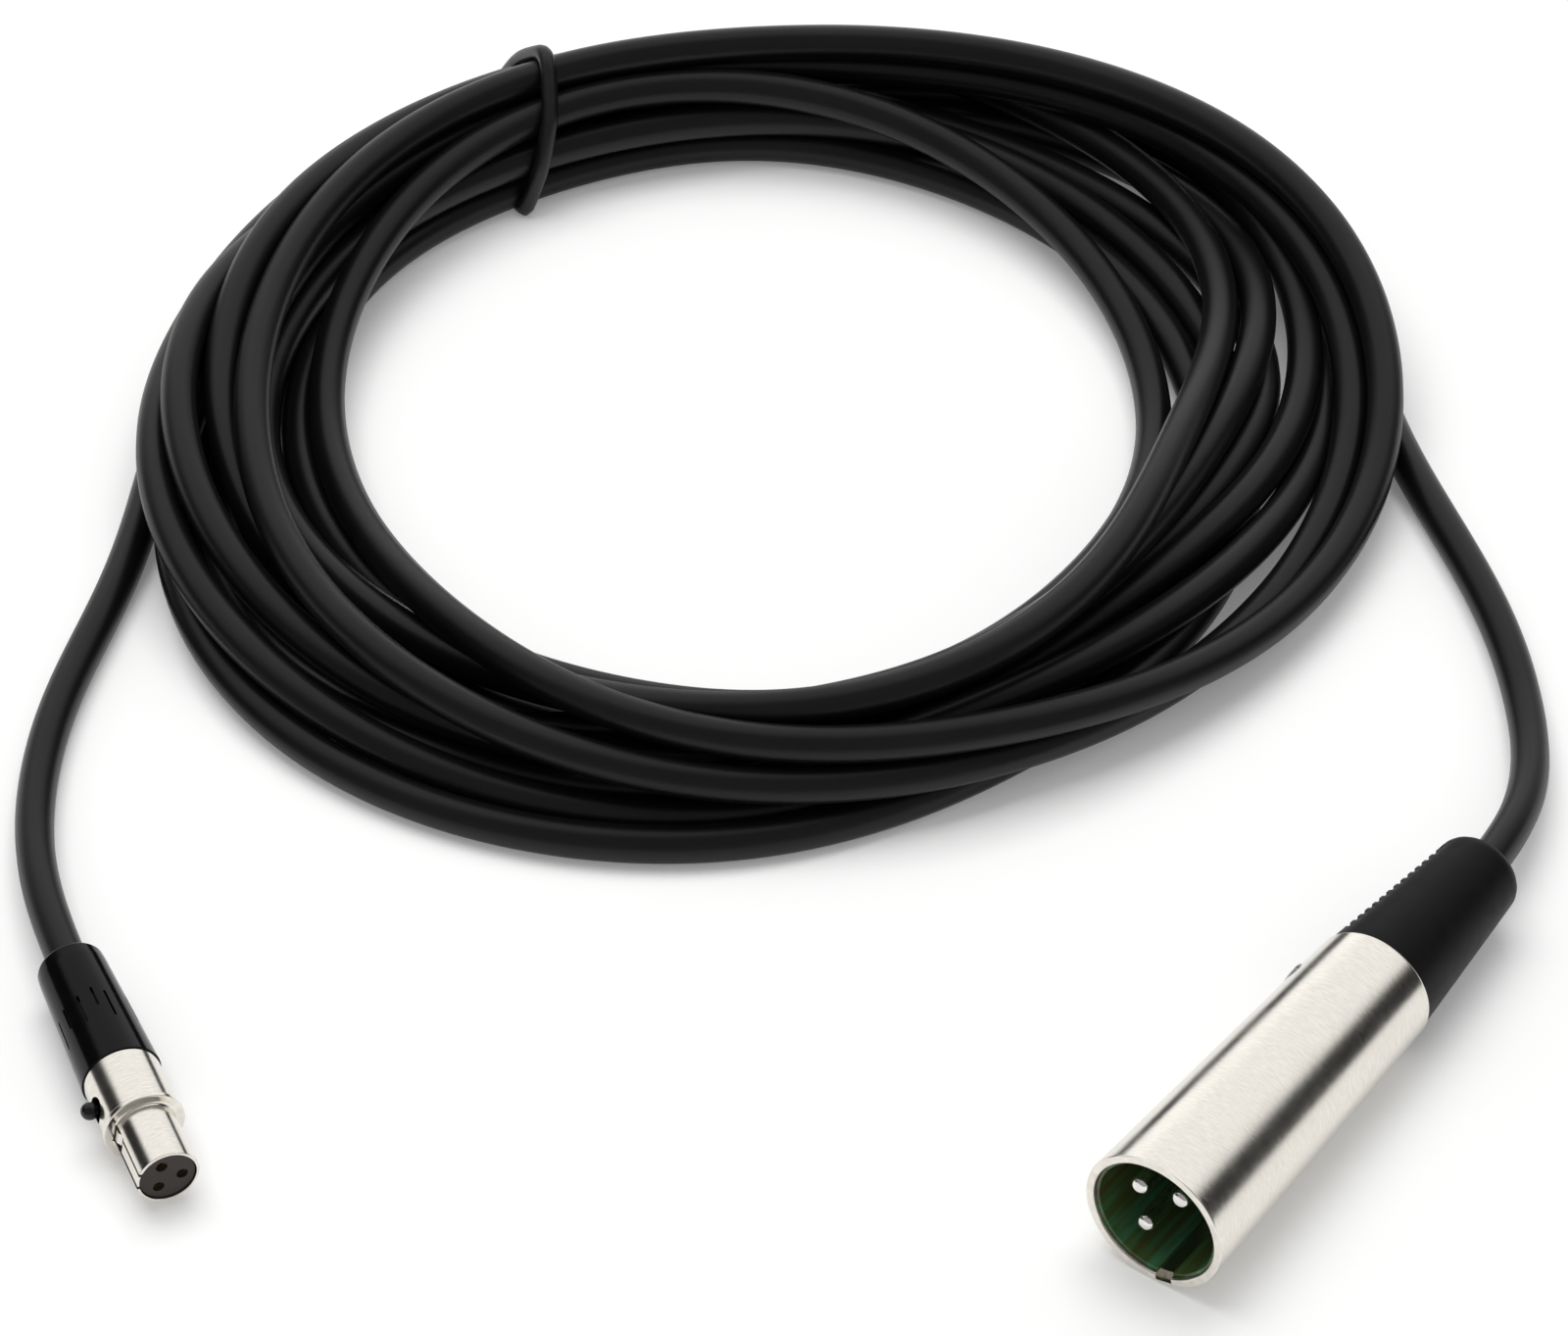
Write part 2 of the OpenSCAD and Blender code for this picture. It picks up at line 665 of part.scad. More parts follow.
// Socket contact with a round hole in front and an open solder cup behind
module mini_socket(angle) {
    color("#d0b060")
    at_mini() toward(angle) translate([0, 0, socket_ring_r]) difference() {
        bar(socket_r, socket_recess, mini_cup_x1);
        bar(socket_bore_r, socket_recess - 1, socket_recess + socket_bore_len);
        bar(mini_cup_bore_r, mini_cup_x1 - mini_cup_depth, mini_cup_x1 + 1);
        translate([mini_cup_x1 - 1.6, -socket_r - 1, 0])
            cube([2, 2 * socket_r + 2, socket_r + 1]);
    }
}

// Side view of the hook: a ramp in front, a square catch behind
function hook_outline() =
    let (x0 = hook_x1 - hook_len, ramp = 0.55 * hook_len, edge = 0.12)
    concat(
        [[x0, lever_z], [hook_x1, lever_z]],
        arc([hook_x1 - edge, hook_top - edge], edge, 0, 90, 4),
        arc([x0 + ramp, hook_top - 3 * edge], 3 * edge, 90, 150, 4),
        [[x0, lever_z + lever_t]]
    );

// Lever with its hook in front and the pin that it turns on behind
module mini_latch_lever() {
    color("#b8b6ae")
    at_mini() toward(latch_angle) {
        difference() {
            union() {
                translate([hook_x1 - hook_len, -lever_w / 2, lever_z])
                    cube([pivot_x - hook_x1 + hook_len, lever_w, lever_t]);
                rotate([90, 0, 0]) linear_extrude(lever_w, center = true) polygon(hook_outline());
                translate([pivot_x, pivot_len / 2, pivot_z])
                    rotate([90, 0, 0]) cylinder(r = pivot_r, h = pivot_len);
            }
            translate([button_x, 0, lever_z - 1]) cylinder(r = stem_r + push_fit, h = 3);
        }
    }
}

// Ball on a stem, riveted under the lever
module mini_release_button() {
    color("#101011")
    at_mini() toward(latch_angle) translate([button_x, 0, 0]) union() {
        translate([0, 0, lever_z - 0.2]) cylinder(r = stem_r, h = ball_z - lever_z);
        translate([0, 0, lever_z + lever_t + push_fit]) cylinder(r = stem_r + 0.35, h = 0.4);
        translate([0, 0, lever_z - 0.3]) cylinder(r = stem_r + 0.2, h = 0.3 - push_fit);
        translate([0, 0, ball_z]) sphere(r = ball_r);
    }
}

// Split collar crimped on the jacket, with a rim that bears on the boot
module mini_cable_crimp() {
    hole_r = cable_r + cable_fit;
    color("#b9b7b0")
    at_mini() difference() {
        union() {
            bar(hole_r + crimp_t, crimp_x0, crimp_x0 + crimp_len);
            bar(hole_r + crimp_t + 0.5, crimp_x0, crimp_x0 + 0.8);
        }
        bar(hole_r, crimp_x0 - 1, crimp_x0 + crimp_len + 1);
        toward(latch_angle) translate([crimp_x0 - 1, -0.4, 0])
            cube([crimp_len + 2, 0.8, hole_r + crimp_t + 1]);
    }
}

module mini_boot() {
    hole_r = cable_r + cable_fit;
    round_x = mini_end_x - mini_boot_round;
    front_bore_r = neck_r + push_fit;
    crimp_bore_r = hole_r + crimp_t + 0.5 + push_fit;
    bore_step_x = crimp_x0 + crimp_len + 0.3;
    neck_bore_x = neck_x1 + 0.2;
    slit_x0 = barrel_x1 + slit_start;
    slit_r = mini_boot_front_r
        + (mini_boot_rear_r - mini_boot_front_r) * (slit_start + slit_len / 2) / mini_boot_len;
    color("#151516")
    at_mini() difference() {
        turned(concat(
            [[front_bore_r, barrel_x1], [mini_boot_front_r, barrel_x1]],
            arc([mini_boot_rear_r - mini_boot_round, round_x], mini_boot_round, 0, 90, 5),
            [[hole_r, mini_end_x], [hole_r, bore_step_x], [crimp_bore_r, bore_step_x]],
            [[crimp_bore_r, neck_bore_x], [front_bore_r, neck_bore_x]]
        ));
        for (i = [0 : slit_count - 1]) toward((i + 0.5) * 360 / slit_count)
            translate([slit_x0, -slit_w / 2, slit_r - slit_deep])
            cube([slit_len, slit_w, slit_deep + 1]);
    }
}

module mini_cable_end() {
    color("#1c1c1e") at_mini() bar(cable_r, mini_jacket_x, mini_end_x);
}

module mini_wire(angle, d, colour) {
    color(colour) at_mini()
        conductor(mini_jacket_x, core_ring_r, mini_cup_x1, socket_ring_r, mini_cup_depth - 0.4, angle, d);
}

cable_coil();
cable_lead_xlr();
cable_lead_mini();
tie_ring();
xlr_shell();
xlr_contact_block();
xlr_pin(pin_angles[0]);  // xlr_pin_1
xlr_pin(pin_angles[1]);  // xlr_pin_2
xlr_pin(pin_angles[2]);  // xlr_pin_3
xlr_shell_tab();
xlr_retaining_screw();
xlr_clamp_base();
xlr_clamp_cap();
xlr_clamp_screws();
xlr_boot();
xlr_cable_end();
xlr_wire(pin_angles[0], drain_d, "#c0b090");  // xlr_wire_1
xlr_wire(pin_angles[1], wire_d, "#b02020");  // xlr_wire_2
xlr_wire(pin_angles[2], wire_d, "#e8e8e8");  // xlr_wire_3
mini_shell();
mini_contact_face();
mini_contact_block();
mini_socket(socket_angles[0]);  // mini_socket_1
mini_socket(socket_angles[1]);  // mini_socket_2
mini_socket(socket_angles[2]);  // mini_socket_3
mini_latch_lever();
mini_release_button();
mini_cable_crimp();
mini_boot();
mini_cable_end();
mini_wire(socket_angles[0], drain_d, "#c0b090");  // mini_wire_1
mini_wire(socket_angles[1], mini_wire_d, "#b02020");  // mini_wire_2
mini_wire(socket_angles[2], mini_wire_d, "#e8e8e8");  // mini_wire_3
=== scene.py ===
import bmesh
import bpy
import numpy as np
from math import cos, pi, radians, sin
from mathutils import Matrix, Vector


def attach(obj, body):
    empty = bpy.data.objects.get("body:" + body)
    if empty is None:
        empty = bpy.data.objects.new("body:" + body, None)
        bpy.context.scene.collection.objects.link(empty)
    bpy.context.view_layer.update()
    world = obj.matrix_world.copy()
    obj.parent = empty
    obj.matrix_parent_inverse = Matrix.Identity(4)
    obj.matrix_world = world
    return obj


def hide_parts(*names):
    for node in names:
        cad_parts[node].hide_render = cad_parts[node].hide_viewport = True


# Sizes and places are in millimetres and angles in degrees, and MM turns them to the scene's metres
MM = 0.001

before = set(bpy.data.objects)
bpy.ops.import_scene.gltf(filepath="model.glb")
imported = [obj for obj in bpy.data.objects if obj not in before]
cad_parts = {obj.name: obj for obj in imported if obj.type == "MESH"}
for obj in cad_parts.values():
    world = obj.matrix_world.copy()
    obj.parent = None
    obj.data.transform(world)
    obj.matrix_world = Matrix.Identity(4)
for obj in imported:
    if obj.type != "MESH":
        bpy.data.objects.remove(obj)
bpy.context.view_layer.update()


# ---- Camera ----

CAMERA_BACK = 573.6
CAMERA_HEIGHT = 524.6
CAMERA_TURN = 47


def set_up_camera():
    data = bpy.data.cameras.new("camera")
    data.sensor_fit = "HORIZONTAL"
    data.sensor_width = 36
    data.lens = 135
    camera = bpy.data.objects.new("camera", data)
    camera.location = (0, -CAMERA_BACK * MM, CAMERA_HEIGHT * MM)
    camera.rotation_euler = (radians(CAMERA_TURN), 0, 0)
    bpy.context.scene.collection.objects.link(camera)
    bpy.context.scene.camera = camera


set_up_camera()
bpy.context.scene.view_settings.view_transform = "Standard"


# ---- How a finish is built ----


class Value:
    """A socket of a finish, on which sums are written as Python expressions."""

    def __init__(self, finish, socket):
        self.finish = finish
        self.socket = socket

    def __add__(self, other):
        return self.finish.maths("ADD", self, other)

    def __radd__(self, other):
        return self.finish.maths("ADD", other, self)

    def __sub__(self, other):
        return self.finish.maths("SUBTRACT", self, other)

    def __rsub__(self, other):
        return self.finish.maths("SUBTRACT", other, self)

    def __mul__(self, other):
        return self.finish.maths("MULTIPLY", self, other)

    def __rmul__(self, other):
        return self.finish.maths("MULTIPLY", other, self)

    def beside(self, name):
        """Another output of the same node."""
        return Value(self.finish, self.socket.node.outputs[name])


class Finish:
    """A material or a world, built node by node."""

    def __init__(self, owner):
        owner.use_nodes = True
        self.owner = owner
        self.tree = owner.node_tree
        self.tree.nodes.clear()

    def node(self, kind, settings=None, sockets=None, out=0):
        """A node of that kind, its settings made first, then its sockets given values or links."""
        n = self.tree.nodes.new(kind)
        for name, value in (settings or {}).items():
            if name == "stops":
                ramp = n.color_ramp
                while len(ramp.elements) < len(value):
                    ramp.elements.new(0.5)
                for element, (at, colour) in zip(ramp.elements, value):
                    element.position = at
                    element.color = colour
            else:
                setattr(n, name, value)
        for name, value in (sockets or {}).items():
            if isinstance(value, Value):
                self.tree.links.new(value.socket, n.inputs[name])
            else:
                n.inputs[name].default_value = value
        return Value(self, n.outputs[out]) if n.outputs else n

    def maths(self, operation, *values):
        return self.node("ShaderNodeMath", {"operation": operation}, dict(enumerate(values)))

    def rays(self):
        """1 or 0 for a ray that comes from the camera, from a gloss, or through glass."""
        seen = self.node("ShaderNodeLightPath").beside("Is Camera Ray")
        return seen, seen.beside("Is Glossy Ray"), seen.beside("Is Transmission Ray")

    def coordinates(self, place=None, stretch=(1, 1, 1)):
        """Object coordinates in millimetres, turned to a plug's own axes where a place is given."""
        here = self.node("ShaderNodeTexCoord", out=3)
        if place is not None:
            back = place.inverted()
            sockets = {"Vector": here, "Location": back.to_translation(), "Rotation": back.to_euler()}
            here = self.node("ShaderNodeMapping", {"vector_type": "POINT"}, sockets)
        size = tuple(s / MM for s in stretch)
        return self.node("ShaderNodeMapping", {"vector_type": "POINT"}, {"Vector": here, "Scale": size})

    def noise(self, where, scale, detail=3, rough=0.5):
        sockets = {"Vector": where, "Scale": scale, "Detail": detail, "Roughness": rough}
        return self.node("ShaderNodeTexNoise", {}, sockets)

    def ramp(self, value, *stops):
        return self.node("ShaderNodeValToRGB", {"stops": stops}, {0: value})

    def between(self, value, low, high, to_low=0.0, to_high=1.0):
        """Runs from to_low to to_high while the value runs from low to high."""
        sockets = {"Value": value, "From Min": low, "From Max": high, "To Min": to_low, "To Max": to_high}
        return self.node("ShaderNodeMapRange", {}, sockets)

    def blend(self, share, a, b):
        return self.node("ShaderNodeMix", {"data_type": "RGBA"}, {0: share, 6: a, 7: b}, out=2)

    def bump(self, height, depth, strength=1.0, normal=None):
        sockets = {"Height": height, "Distance": depth * MM, "Strength": strength}
        if normal is not None:
            sockets["Normal"] = normal
        return self.node("ShaderNodeBump", {}, sockets)

    def surface(self, **sockets):
        """The shader that the finish ends in. Names are the socket's, with _ for a space."""
        named = {name.replace("_", " "): value for name, value in sockets.items()}
        shader = self.node("ShaderNodeBsdfPrincipled", {}, named)
        self.node("ShaderNodeOutputMaterial", {}, {"Surface": shader})


def new_finish(name):
    return Finish(bpy.data.materials.new(name))


def hue(r, g, b):
    return (r, g, b, 1)


WHITE = hue(1, 1, 1)


def as_object(name, bm):
    """A finished bmesh as an object of the scene. The bmesh is used up."""
    mesh = bpy.data.meshes.new(name)
    bm.to_mesh(mesh)
    bm.free()
    obj = bpy.data.objects.new(name, mesh)
    bpy.context.scene.collection.objects.link(obj)
    return obj


# ---- Studio: a room of soft light, one softbox and a paper floor ----

# The studio's own sizes and places are in metres
ROOM_LIGHT = 0.55
ROOM_DIM = 0.02
ROOM_BRIGHT = 1.06
BOX_PLACE = Vector((-0.1, 0.25, 1.1))
BOX_SIZE = (1.1, 0.8)
BOX_POWER = 9
FLOOR_HALF = 4
FLOOR_GLOW = 0.14


def light_the_room():
    """Even light, but glossy surfaces mirror a room that is bright overhead and behind and dim aside."""
    world = bpy.data.worlds.new("studio")
    bpy.context.scene.world = world
    w = Finish(world)
    seen, mirrored, through = w.rays()
    facing = w.node("ShaderNodeSeparateXYZ", {}, {0: w.node("ShaderNodeTexCoord")})
    aside = w.maths("ABSOLUTE", facing.beside("X"))
    behind = facing.beside("Y")
    up = facing.beside("Z")
    overhead = w.between(up, 0.46, 0.58) * w.between(behind, -0.25, 0.15)
    sweep = w.between(behind, 0.5, 0.68) * w.between(aside, 0.3, 0.6, 1.0, 0.45)
    front = 0.32 * w.between(0 - behind, 0.1, 0.4)
    low = 0.2 * w.between(behind, 0.82, 0.92) * w.between(up, 0.3, 0.5, 1.0, 0.0)
    bright = w.maths("MAXIMUM", w.maths("MAXIMUM", overhead, sweep), front)
    room = ROOM_DIM + ROOM_BRIGHT * bright + low
    reflected = w.maths("MAXIMUM", mirrored, through) * (1 - seen)
    strength = ROOM_LIGHT + (1 - ROOM_LIGHT) * seen + (room - ROOM_LIGHT) * reflected
    sky = w.node("ShaderNodeBackground", {}, {"Color": WHITE, "Strength": strength})
    w.node("ShaderNodeOutputWorld", {}, {"Surface": sky})


def hang_softbox():
    """The one lamp. It gives the shadows their side and is not mirrored itself."""
    lamp = bpy.data.lights.new("softbox", "AREA")
    lamp.shape = "RECTANGLE"
    lamp.size, lamp.size_y = BOX_SIZE
    lamp.energy = BOX_POWER
    box = bpy.data.objects.new("softbox", lamp)
    box.location = BOX_PLACE
    box.visible_glossy = False
    box.rotation_euler = BOX_PLACE.to_track_quat("Z", "Y").to_euler()
    bpy.context.scene.collection.objects.link(box)


def lay_floor():
    """White paper, with a little glow for the eye and for mirrors so that only shadows are grey."""
    bm = bmesh.new()
    bmesh.ops.create_grid(bm, x_segments=1, y_segments=1, size=FLOOR_HALF)
    floor = as_object("floor", bm)
    f = new_finish("floor")
    seen, mirrored, through = f.rays()
    share = f.maths("MINIMUM", seen + mirrored + through, 1.0)
    paper = f.node("ShaderNodeBsdfDiffuse", {}, {"Color": hue(0.84, 0.84, 0.835)})
    glow = f.node("ShaderNodeEmission", {}, {"Color": WHITE, "Strength": FLOOR_GLOW * share})
    both = f.node("ShaderNodeAddShader", {}, {0: paper, 1: glow})
    f.node("ShaderNodeOutputMaterial", {}, {"Surface": both})
    floor.data.materials.append(f.owner)


light_the_room()
hang_softbox()
lay_floor()


# ---- The cable: eleven strands laid one turn after another ----

CABLE = 5.0
RADIUS = CABLE / 2
COIL_MIDDLE = np.array([-6.0, 34.0])
# Each turn has a station every 30 degrees, and the line a point every 2.5 degrees
FIRST_STATION = -60
STATION_GAP = 30
STATIONS = int(360 / STATION_GAP)
STEP = 2.5
PARTS = int(STATION_GAP / STEP)
ROUND = int(360 / STEP)
TINY = 1e-9
# Reach of each turn from the coil's middle, every 30 degrees from -60, and its layer from the floor up
REACH = [
    [95, 92, 87, 85, 80, 77, 77, 76.3, 71.5, 68.5, 67, 64],
    [60, 62, 71, 72, 68, 62, 66, 73, 76, 74.5, 73, 69],
    [62, 67, 75, 83, 77, 69, 66, 67, 74, 79.5, 76.5, 73],
    [67, 73, 79, 78, 74.2, 72, 72, 74, 76.5, 82.2, 80.5, 77],
    [71, 66, 62, 59, 54.7, 55.9, 55.6, 57, 59.5, 61, 61.5, 60],
    [57, 56, 55.5, 56.5, 61.5, 69, 68.5, 60, 56, 55.5, 57, 64],
    [75, 83.5, 88.3, 90.3, 85.8, 79.2, 76.6, 71.5, 67, 67, 70.5, 76],
    [77.5, 79, 82.5, 86.2, 80.3, 74, 72, 67.5, 69, 72, 70, 66],
    [57.5, 59, 66.5, 79.5, 75, 67, 64, 69, 74, 86.5, 88.5, 85],
    [78, 72, 67, 62.5, 64, 64, 61.5, 62, 65, 65, 64, 60],
    [58, 57, 61, 75.5, 77, 75, 73, 73.5, 75.5, 90, 100, 100],
]
LAYER = [
    [1, 1, 1, 1, 1, 1.6, 2.0, 2.6, 2, 1.2, 1.2, 1],
    [1, 1, 1, 1, 1, 1.4, 1.8, 1.8, 3, 2.4, 2.2, 1.6],
    [2, 2, 2, 1.8, 1.8, 1.4, 1, 1, 1, 1.1, 1.1, 1.2],
    [1.2, 1.2, 1.2, 1.1, 1, 1.6, 1.8, 1.8, 2, 2, 2, 1.8],
    [0.9, 0.9, 0.9, 0.9, 1, 1, 1, 0.9, 1, 1, 1, 0.9],
    [1.1, 1.3, 1.2, 1.8, 2.6, 3, 3, 2.4, 1.2, 1.2, 1.6, 2.6],
    [3, 3, 3, 3, 3.2, 3.2, 3.2, 3.2, 3, 2.8, 3, 3],
    [2.4, 2.4, 2.4, 2.2, 2.6, 2.6, 2.4, 2.0, 1, 1, 1, 1],
    [2, 2.2, 2.2, 2, 1.8, 1.2, 1.2, 1, 1.5, 1, 1, 1],
    [0.8, 0.8, 0.8, 1.2, 1.2, 1.8, 1.8, 1.4, 1.2, 1.2, 1.2, 1.1],
    [2.4, 2.6, 3, 3.2, 2.6, 1.2, 1, 1, 0.8, 0.6, 1, 1],
]
# 1 where a turn shows and keeps its reach, 0 where it lies under others and finds its own room
SHOWN = [
    "110000111000",
    "011000001100",
    "111100000100",
    "111000001110",
    "000111101110",
    "111111111111",
    "111111111111",
    "111111111000",
    "111100000111",
    "000110100011",
    "111110000110",
]
# How far in and how far out the coil's edges reach, at the same stations
INNER_EDGE = [56.3, 54.4, 52.9, 52.5, 51.2, 52, 51, 55, 53.3, 53.2, 53.5, 58]
OUTER_EDGE = [81, 86, 91, 93.4, 89, 83.2, 81.7, 79, 80.6, 88, 91.2, 88.8]
ENTRY = [(-20, 105), (-18, 103), (-13, 97), (-7, 91), (0, 87.2), (6, 86.3), (12, 86.6)]
DEPARTURE = [(3790, 79.2), (3794.5, 81), (3799, 84), (3804, 91.3), (3809, 99)]
LEAD_XLR = [
    (87.06, -55.35, 7.23),
    (90.53, -50.4, 7.05),
    (94.3, -40, 4.8),
    (95.3, -31, 3.1),
    (95.5, -20, 2.5),
    (94.5, -9, 2.5),
    (92, 2, 2.5),
]
LEAD_MINI = [
    (-92.5, -14, 2.5),
    (-94.5, -25, 2.5),
    (-95, -36, 2.5),
    (-94.5, -46, 3.0),
    (-93, -55, 4.2),
    (-90.2, -64.5, 5.05),
    (-87.85, -70.02, 5.1),
]
# Reaches are as the camera sees them in a level plane at this height
READ_HEIGHT = 8
# The line's first and last angle, and between which of them the coil's own points are taken
LINE_FROM = -20
LINE_TO = 3809
COIL_FROM = -12
COIL_TO = 3804
JOINED_POINT_GAP = 3
# Up to and from these angles the line lies still, where the uncoiled stretches join it
STILL_TO = 3
STILL_FROM = 3797
# How high the strands start and may rise. Those that lie under others have their own, lower roof
LAYER_RISE = 4
START_ROOF = 12.5
ROOF = 15.5
HIDDEN_ROOF = 4
HIDDEN_RISE = 4.4
READ_ROOF = 14
LAST_LAYER = 0.6
NEST = 0.8
NO_WALL = 200
# The room inside the tie ring, and how many degrees of the coil it gathers
RING_ANGLE = 118.5
RING_SPREAD = 8
RING_REACH = 64.5
RING_HEIGHT = 9.8
RING_HALF_WIDTH = 9.0
RING_HALF_HEIGHT = 5.4
RING_SQUARENESS = 2.2
RING_PULL = 0.4
# How firmly the cable is held, drawn to its wanted place, and let down, round by round
FAINT_HOLD = 0.02
GRIP = 0.85
DRAW = 0.08
SINK = 0.04
SETTLING_ROUNDS = 900
READING_GAP = 10
TOUCHES_A_ROUND = 4
CALMING_ROUNDS = 80
CALM_PUSH = 0.25
# How stiff the cable is where it is held to a place, in its reach, in its height and at the end
HELD_STIFFNESS = 60
REACH_STIFFNESS = 16
HEIGHT_STIFFNESS = 8
CALM_STIFFNESS = 10
JOINED_STIFFNESS = 12


def eased_line(values, parts):
    """A smooth line through evenly spaced values, with so many parts between each two."""
    v = np.asarray(values, float)
    p = np.concatenate([[2 * v[0] - v[1]], v, [2 * v[-1] - v[-2]]])
    t = np.arange(parts) / parts
    out = []
    for a, b, c, d in zip(p, p[1:], p[2:], p[3:]):
        curve = (2 * a - 5 * b + 4 * c - d) * t**2
        out.append(0.5 * (2 * b + (c - a) * t + curve + (3 * b - a - 3 * c + d) * t**3))
    return np.concatenate(out + [v[-1:]])


def springy(stiffness):
    """The share of each neighbour in the place that a stiff cable takes, when it is held everywhere."""
    n = 81
    i = np.arange(n - 2)
    bend = np.zeros((n - 2, n))
    bend[i, i] = 1
    bend[i, i + 1] = -2
    bend[i, i + 2] = 1
    share = np.linalg.inv(np.eye(n) + stiffness * bend.T @ bend)[n // 2]
    return share / share.sum()


def eased(line, share):
    half = len(share) // 2
    long = np.concatenate([2 * line[0] - line[half:0:-1], line, 2 * line[-1] - line[-2 : -half - 2 : -1]])
    return np.convolve(long, share, "valid")


class Spring:
    """A stiff cable held to wanted places, more firmly at some than at others."""

    def __init__(self, hold, stiffness):
        n = len(hold)
        main = np.array(hold) + 6.0 * stiffness
        main[[0, -1]] -= 5 * stiffness
        main[[1, -2]] -= stiffness
        next_one = np.full(n, -4.0 * stiffness)
        next_one[[0, -2]] = -2.0 * stiffness
        self.hold = np.array(hold)
        self.d = np.zeros(n)
        self.a = np.zeros(n)
        self.b = np.zeros(n)
        for i in range(n):
            d = main[i]
            if i > 0:
                d -= self.a[i - 1] ** 2 * self.d[i - 1]
            if i > 1:
                d -= self.b[i - 2] ** 2 * self.d[i - 2]
            self.d[i] = d
            over = next_one[i] if i < n - 1 else 0.0
            if i > 0:
                over -= self.d[i - 1] * self.a[i - 1] * self.b[i - 1]
            self.a[i] = over / d
            self.b[i] = stiffness / d if i < n - 2 else 0.0

    def __call__(self, wanted):
        x = (self.hold * wanted).tolist()
        a = self.a.tolist()
        b = self.b.tolist()
        n = len(x)
        for i in range(1, n):
            x[i] -= a[i - 1] * x[i - 1]
            if i > 1:
                x[i] -= b[i - 2] * x[i - 2]
        x = (np.array(x) / self.d).tolist()
        for i in range(n - 2, -1, -1):
            x[i] -= a[i] * x[i + 1]
            if i < n - 2:
                x[i] -= b[i] * x[i + 2]
        return np.array(x)


def first_heights(r, z, layer):
    """Puts the strands down one by one at each angle, the lowest layer first."""
    place = np.arange(len(r)) % ROUND
    for s in range(ROUND):
        here = np.where(place == s)[0]
        put = []
        for i in here[np.argsort(layer[here])]:
            top = RADIUS
            for q in put:
                d = abs(r[i] - r[q])
                if d < NEST * CABLE:
                    top = max(top, z[q] + NEST * np.sqrt((NEST * CABLE) ** 2 - d * d))
            z[i] = top
            put.append(i)
    return z


def whole_turns_apart(n):
    """The pairs of stretches that lie over each other, because they are one or more turns apart."""
    for k in range(ROUND, n, ROUND):
        yield slice(0, n - k), slice(k, n)


def edge_at(angle, edge):
    """An edge's reach at each angle, from its reach at the stations."""
    once_round = [FIRST_STATION + STEP * k for k in range(ROUND + 1)]
    within = (angle - FIRST_STATION) % 360 + FIRST_STATION
    return np.interp(within, once_round, eased_line(edge + edge[:1], PARTS))


def give_way(r, z, lean, loose):
    """How far strands that run into each other move apart. One that shows moves less sideways."""
    n = len(r)
    push_r = np.zeros(n)
    push_z = np.zeros(n)
    count = np.zeros(n)
    for a, b in whole_turns_apart(n):
        x = (r[b] - r[a]) * 0.5 * (lean[a] + lean[b])
        y = z[b] - z[a]
        d = np.hypot(x, y) + TINY
        over = np.maximum(0, CABLE - d)
        share = loose[a] + loose[b]
        give = np.minimum(1, share) / share
        push_r[a] -= over * x / d * loose[a] * give
        push_r[b] += over * x / d * loose[b] * give
        push_z[a] -= 0.5 * over * y / d
        push_z[b] += 0.5 * over * y / d
        count[a] += over > 0
        count[b] += over > 0
    gain = 1 / np.sqrt(np.maximum(1, count))
    return push_r * gain, push_z * gain


def ring_pull(r, z, near_ring):
    """The share of the way to the ring's middle that a strand outside the ring's room is drawn."""
    wide = np.abs((r - RING_REACH) / RING_HALF_WIDTH) ** RING_SQUARENESS
    high = np.abs((z - RING_HEIGHT) / RING_HALF_HEIGHT) ** RING_SQUARENESS
    out = (wide + high) ** (1 / RING_SQUARENESS)
    return RING_PULL * np.where(out > 1, near_ring * (1 - 1 / np.maximum(out, 1e-6)), 0)


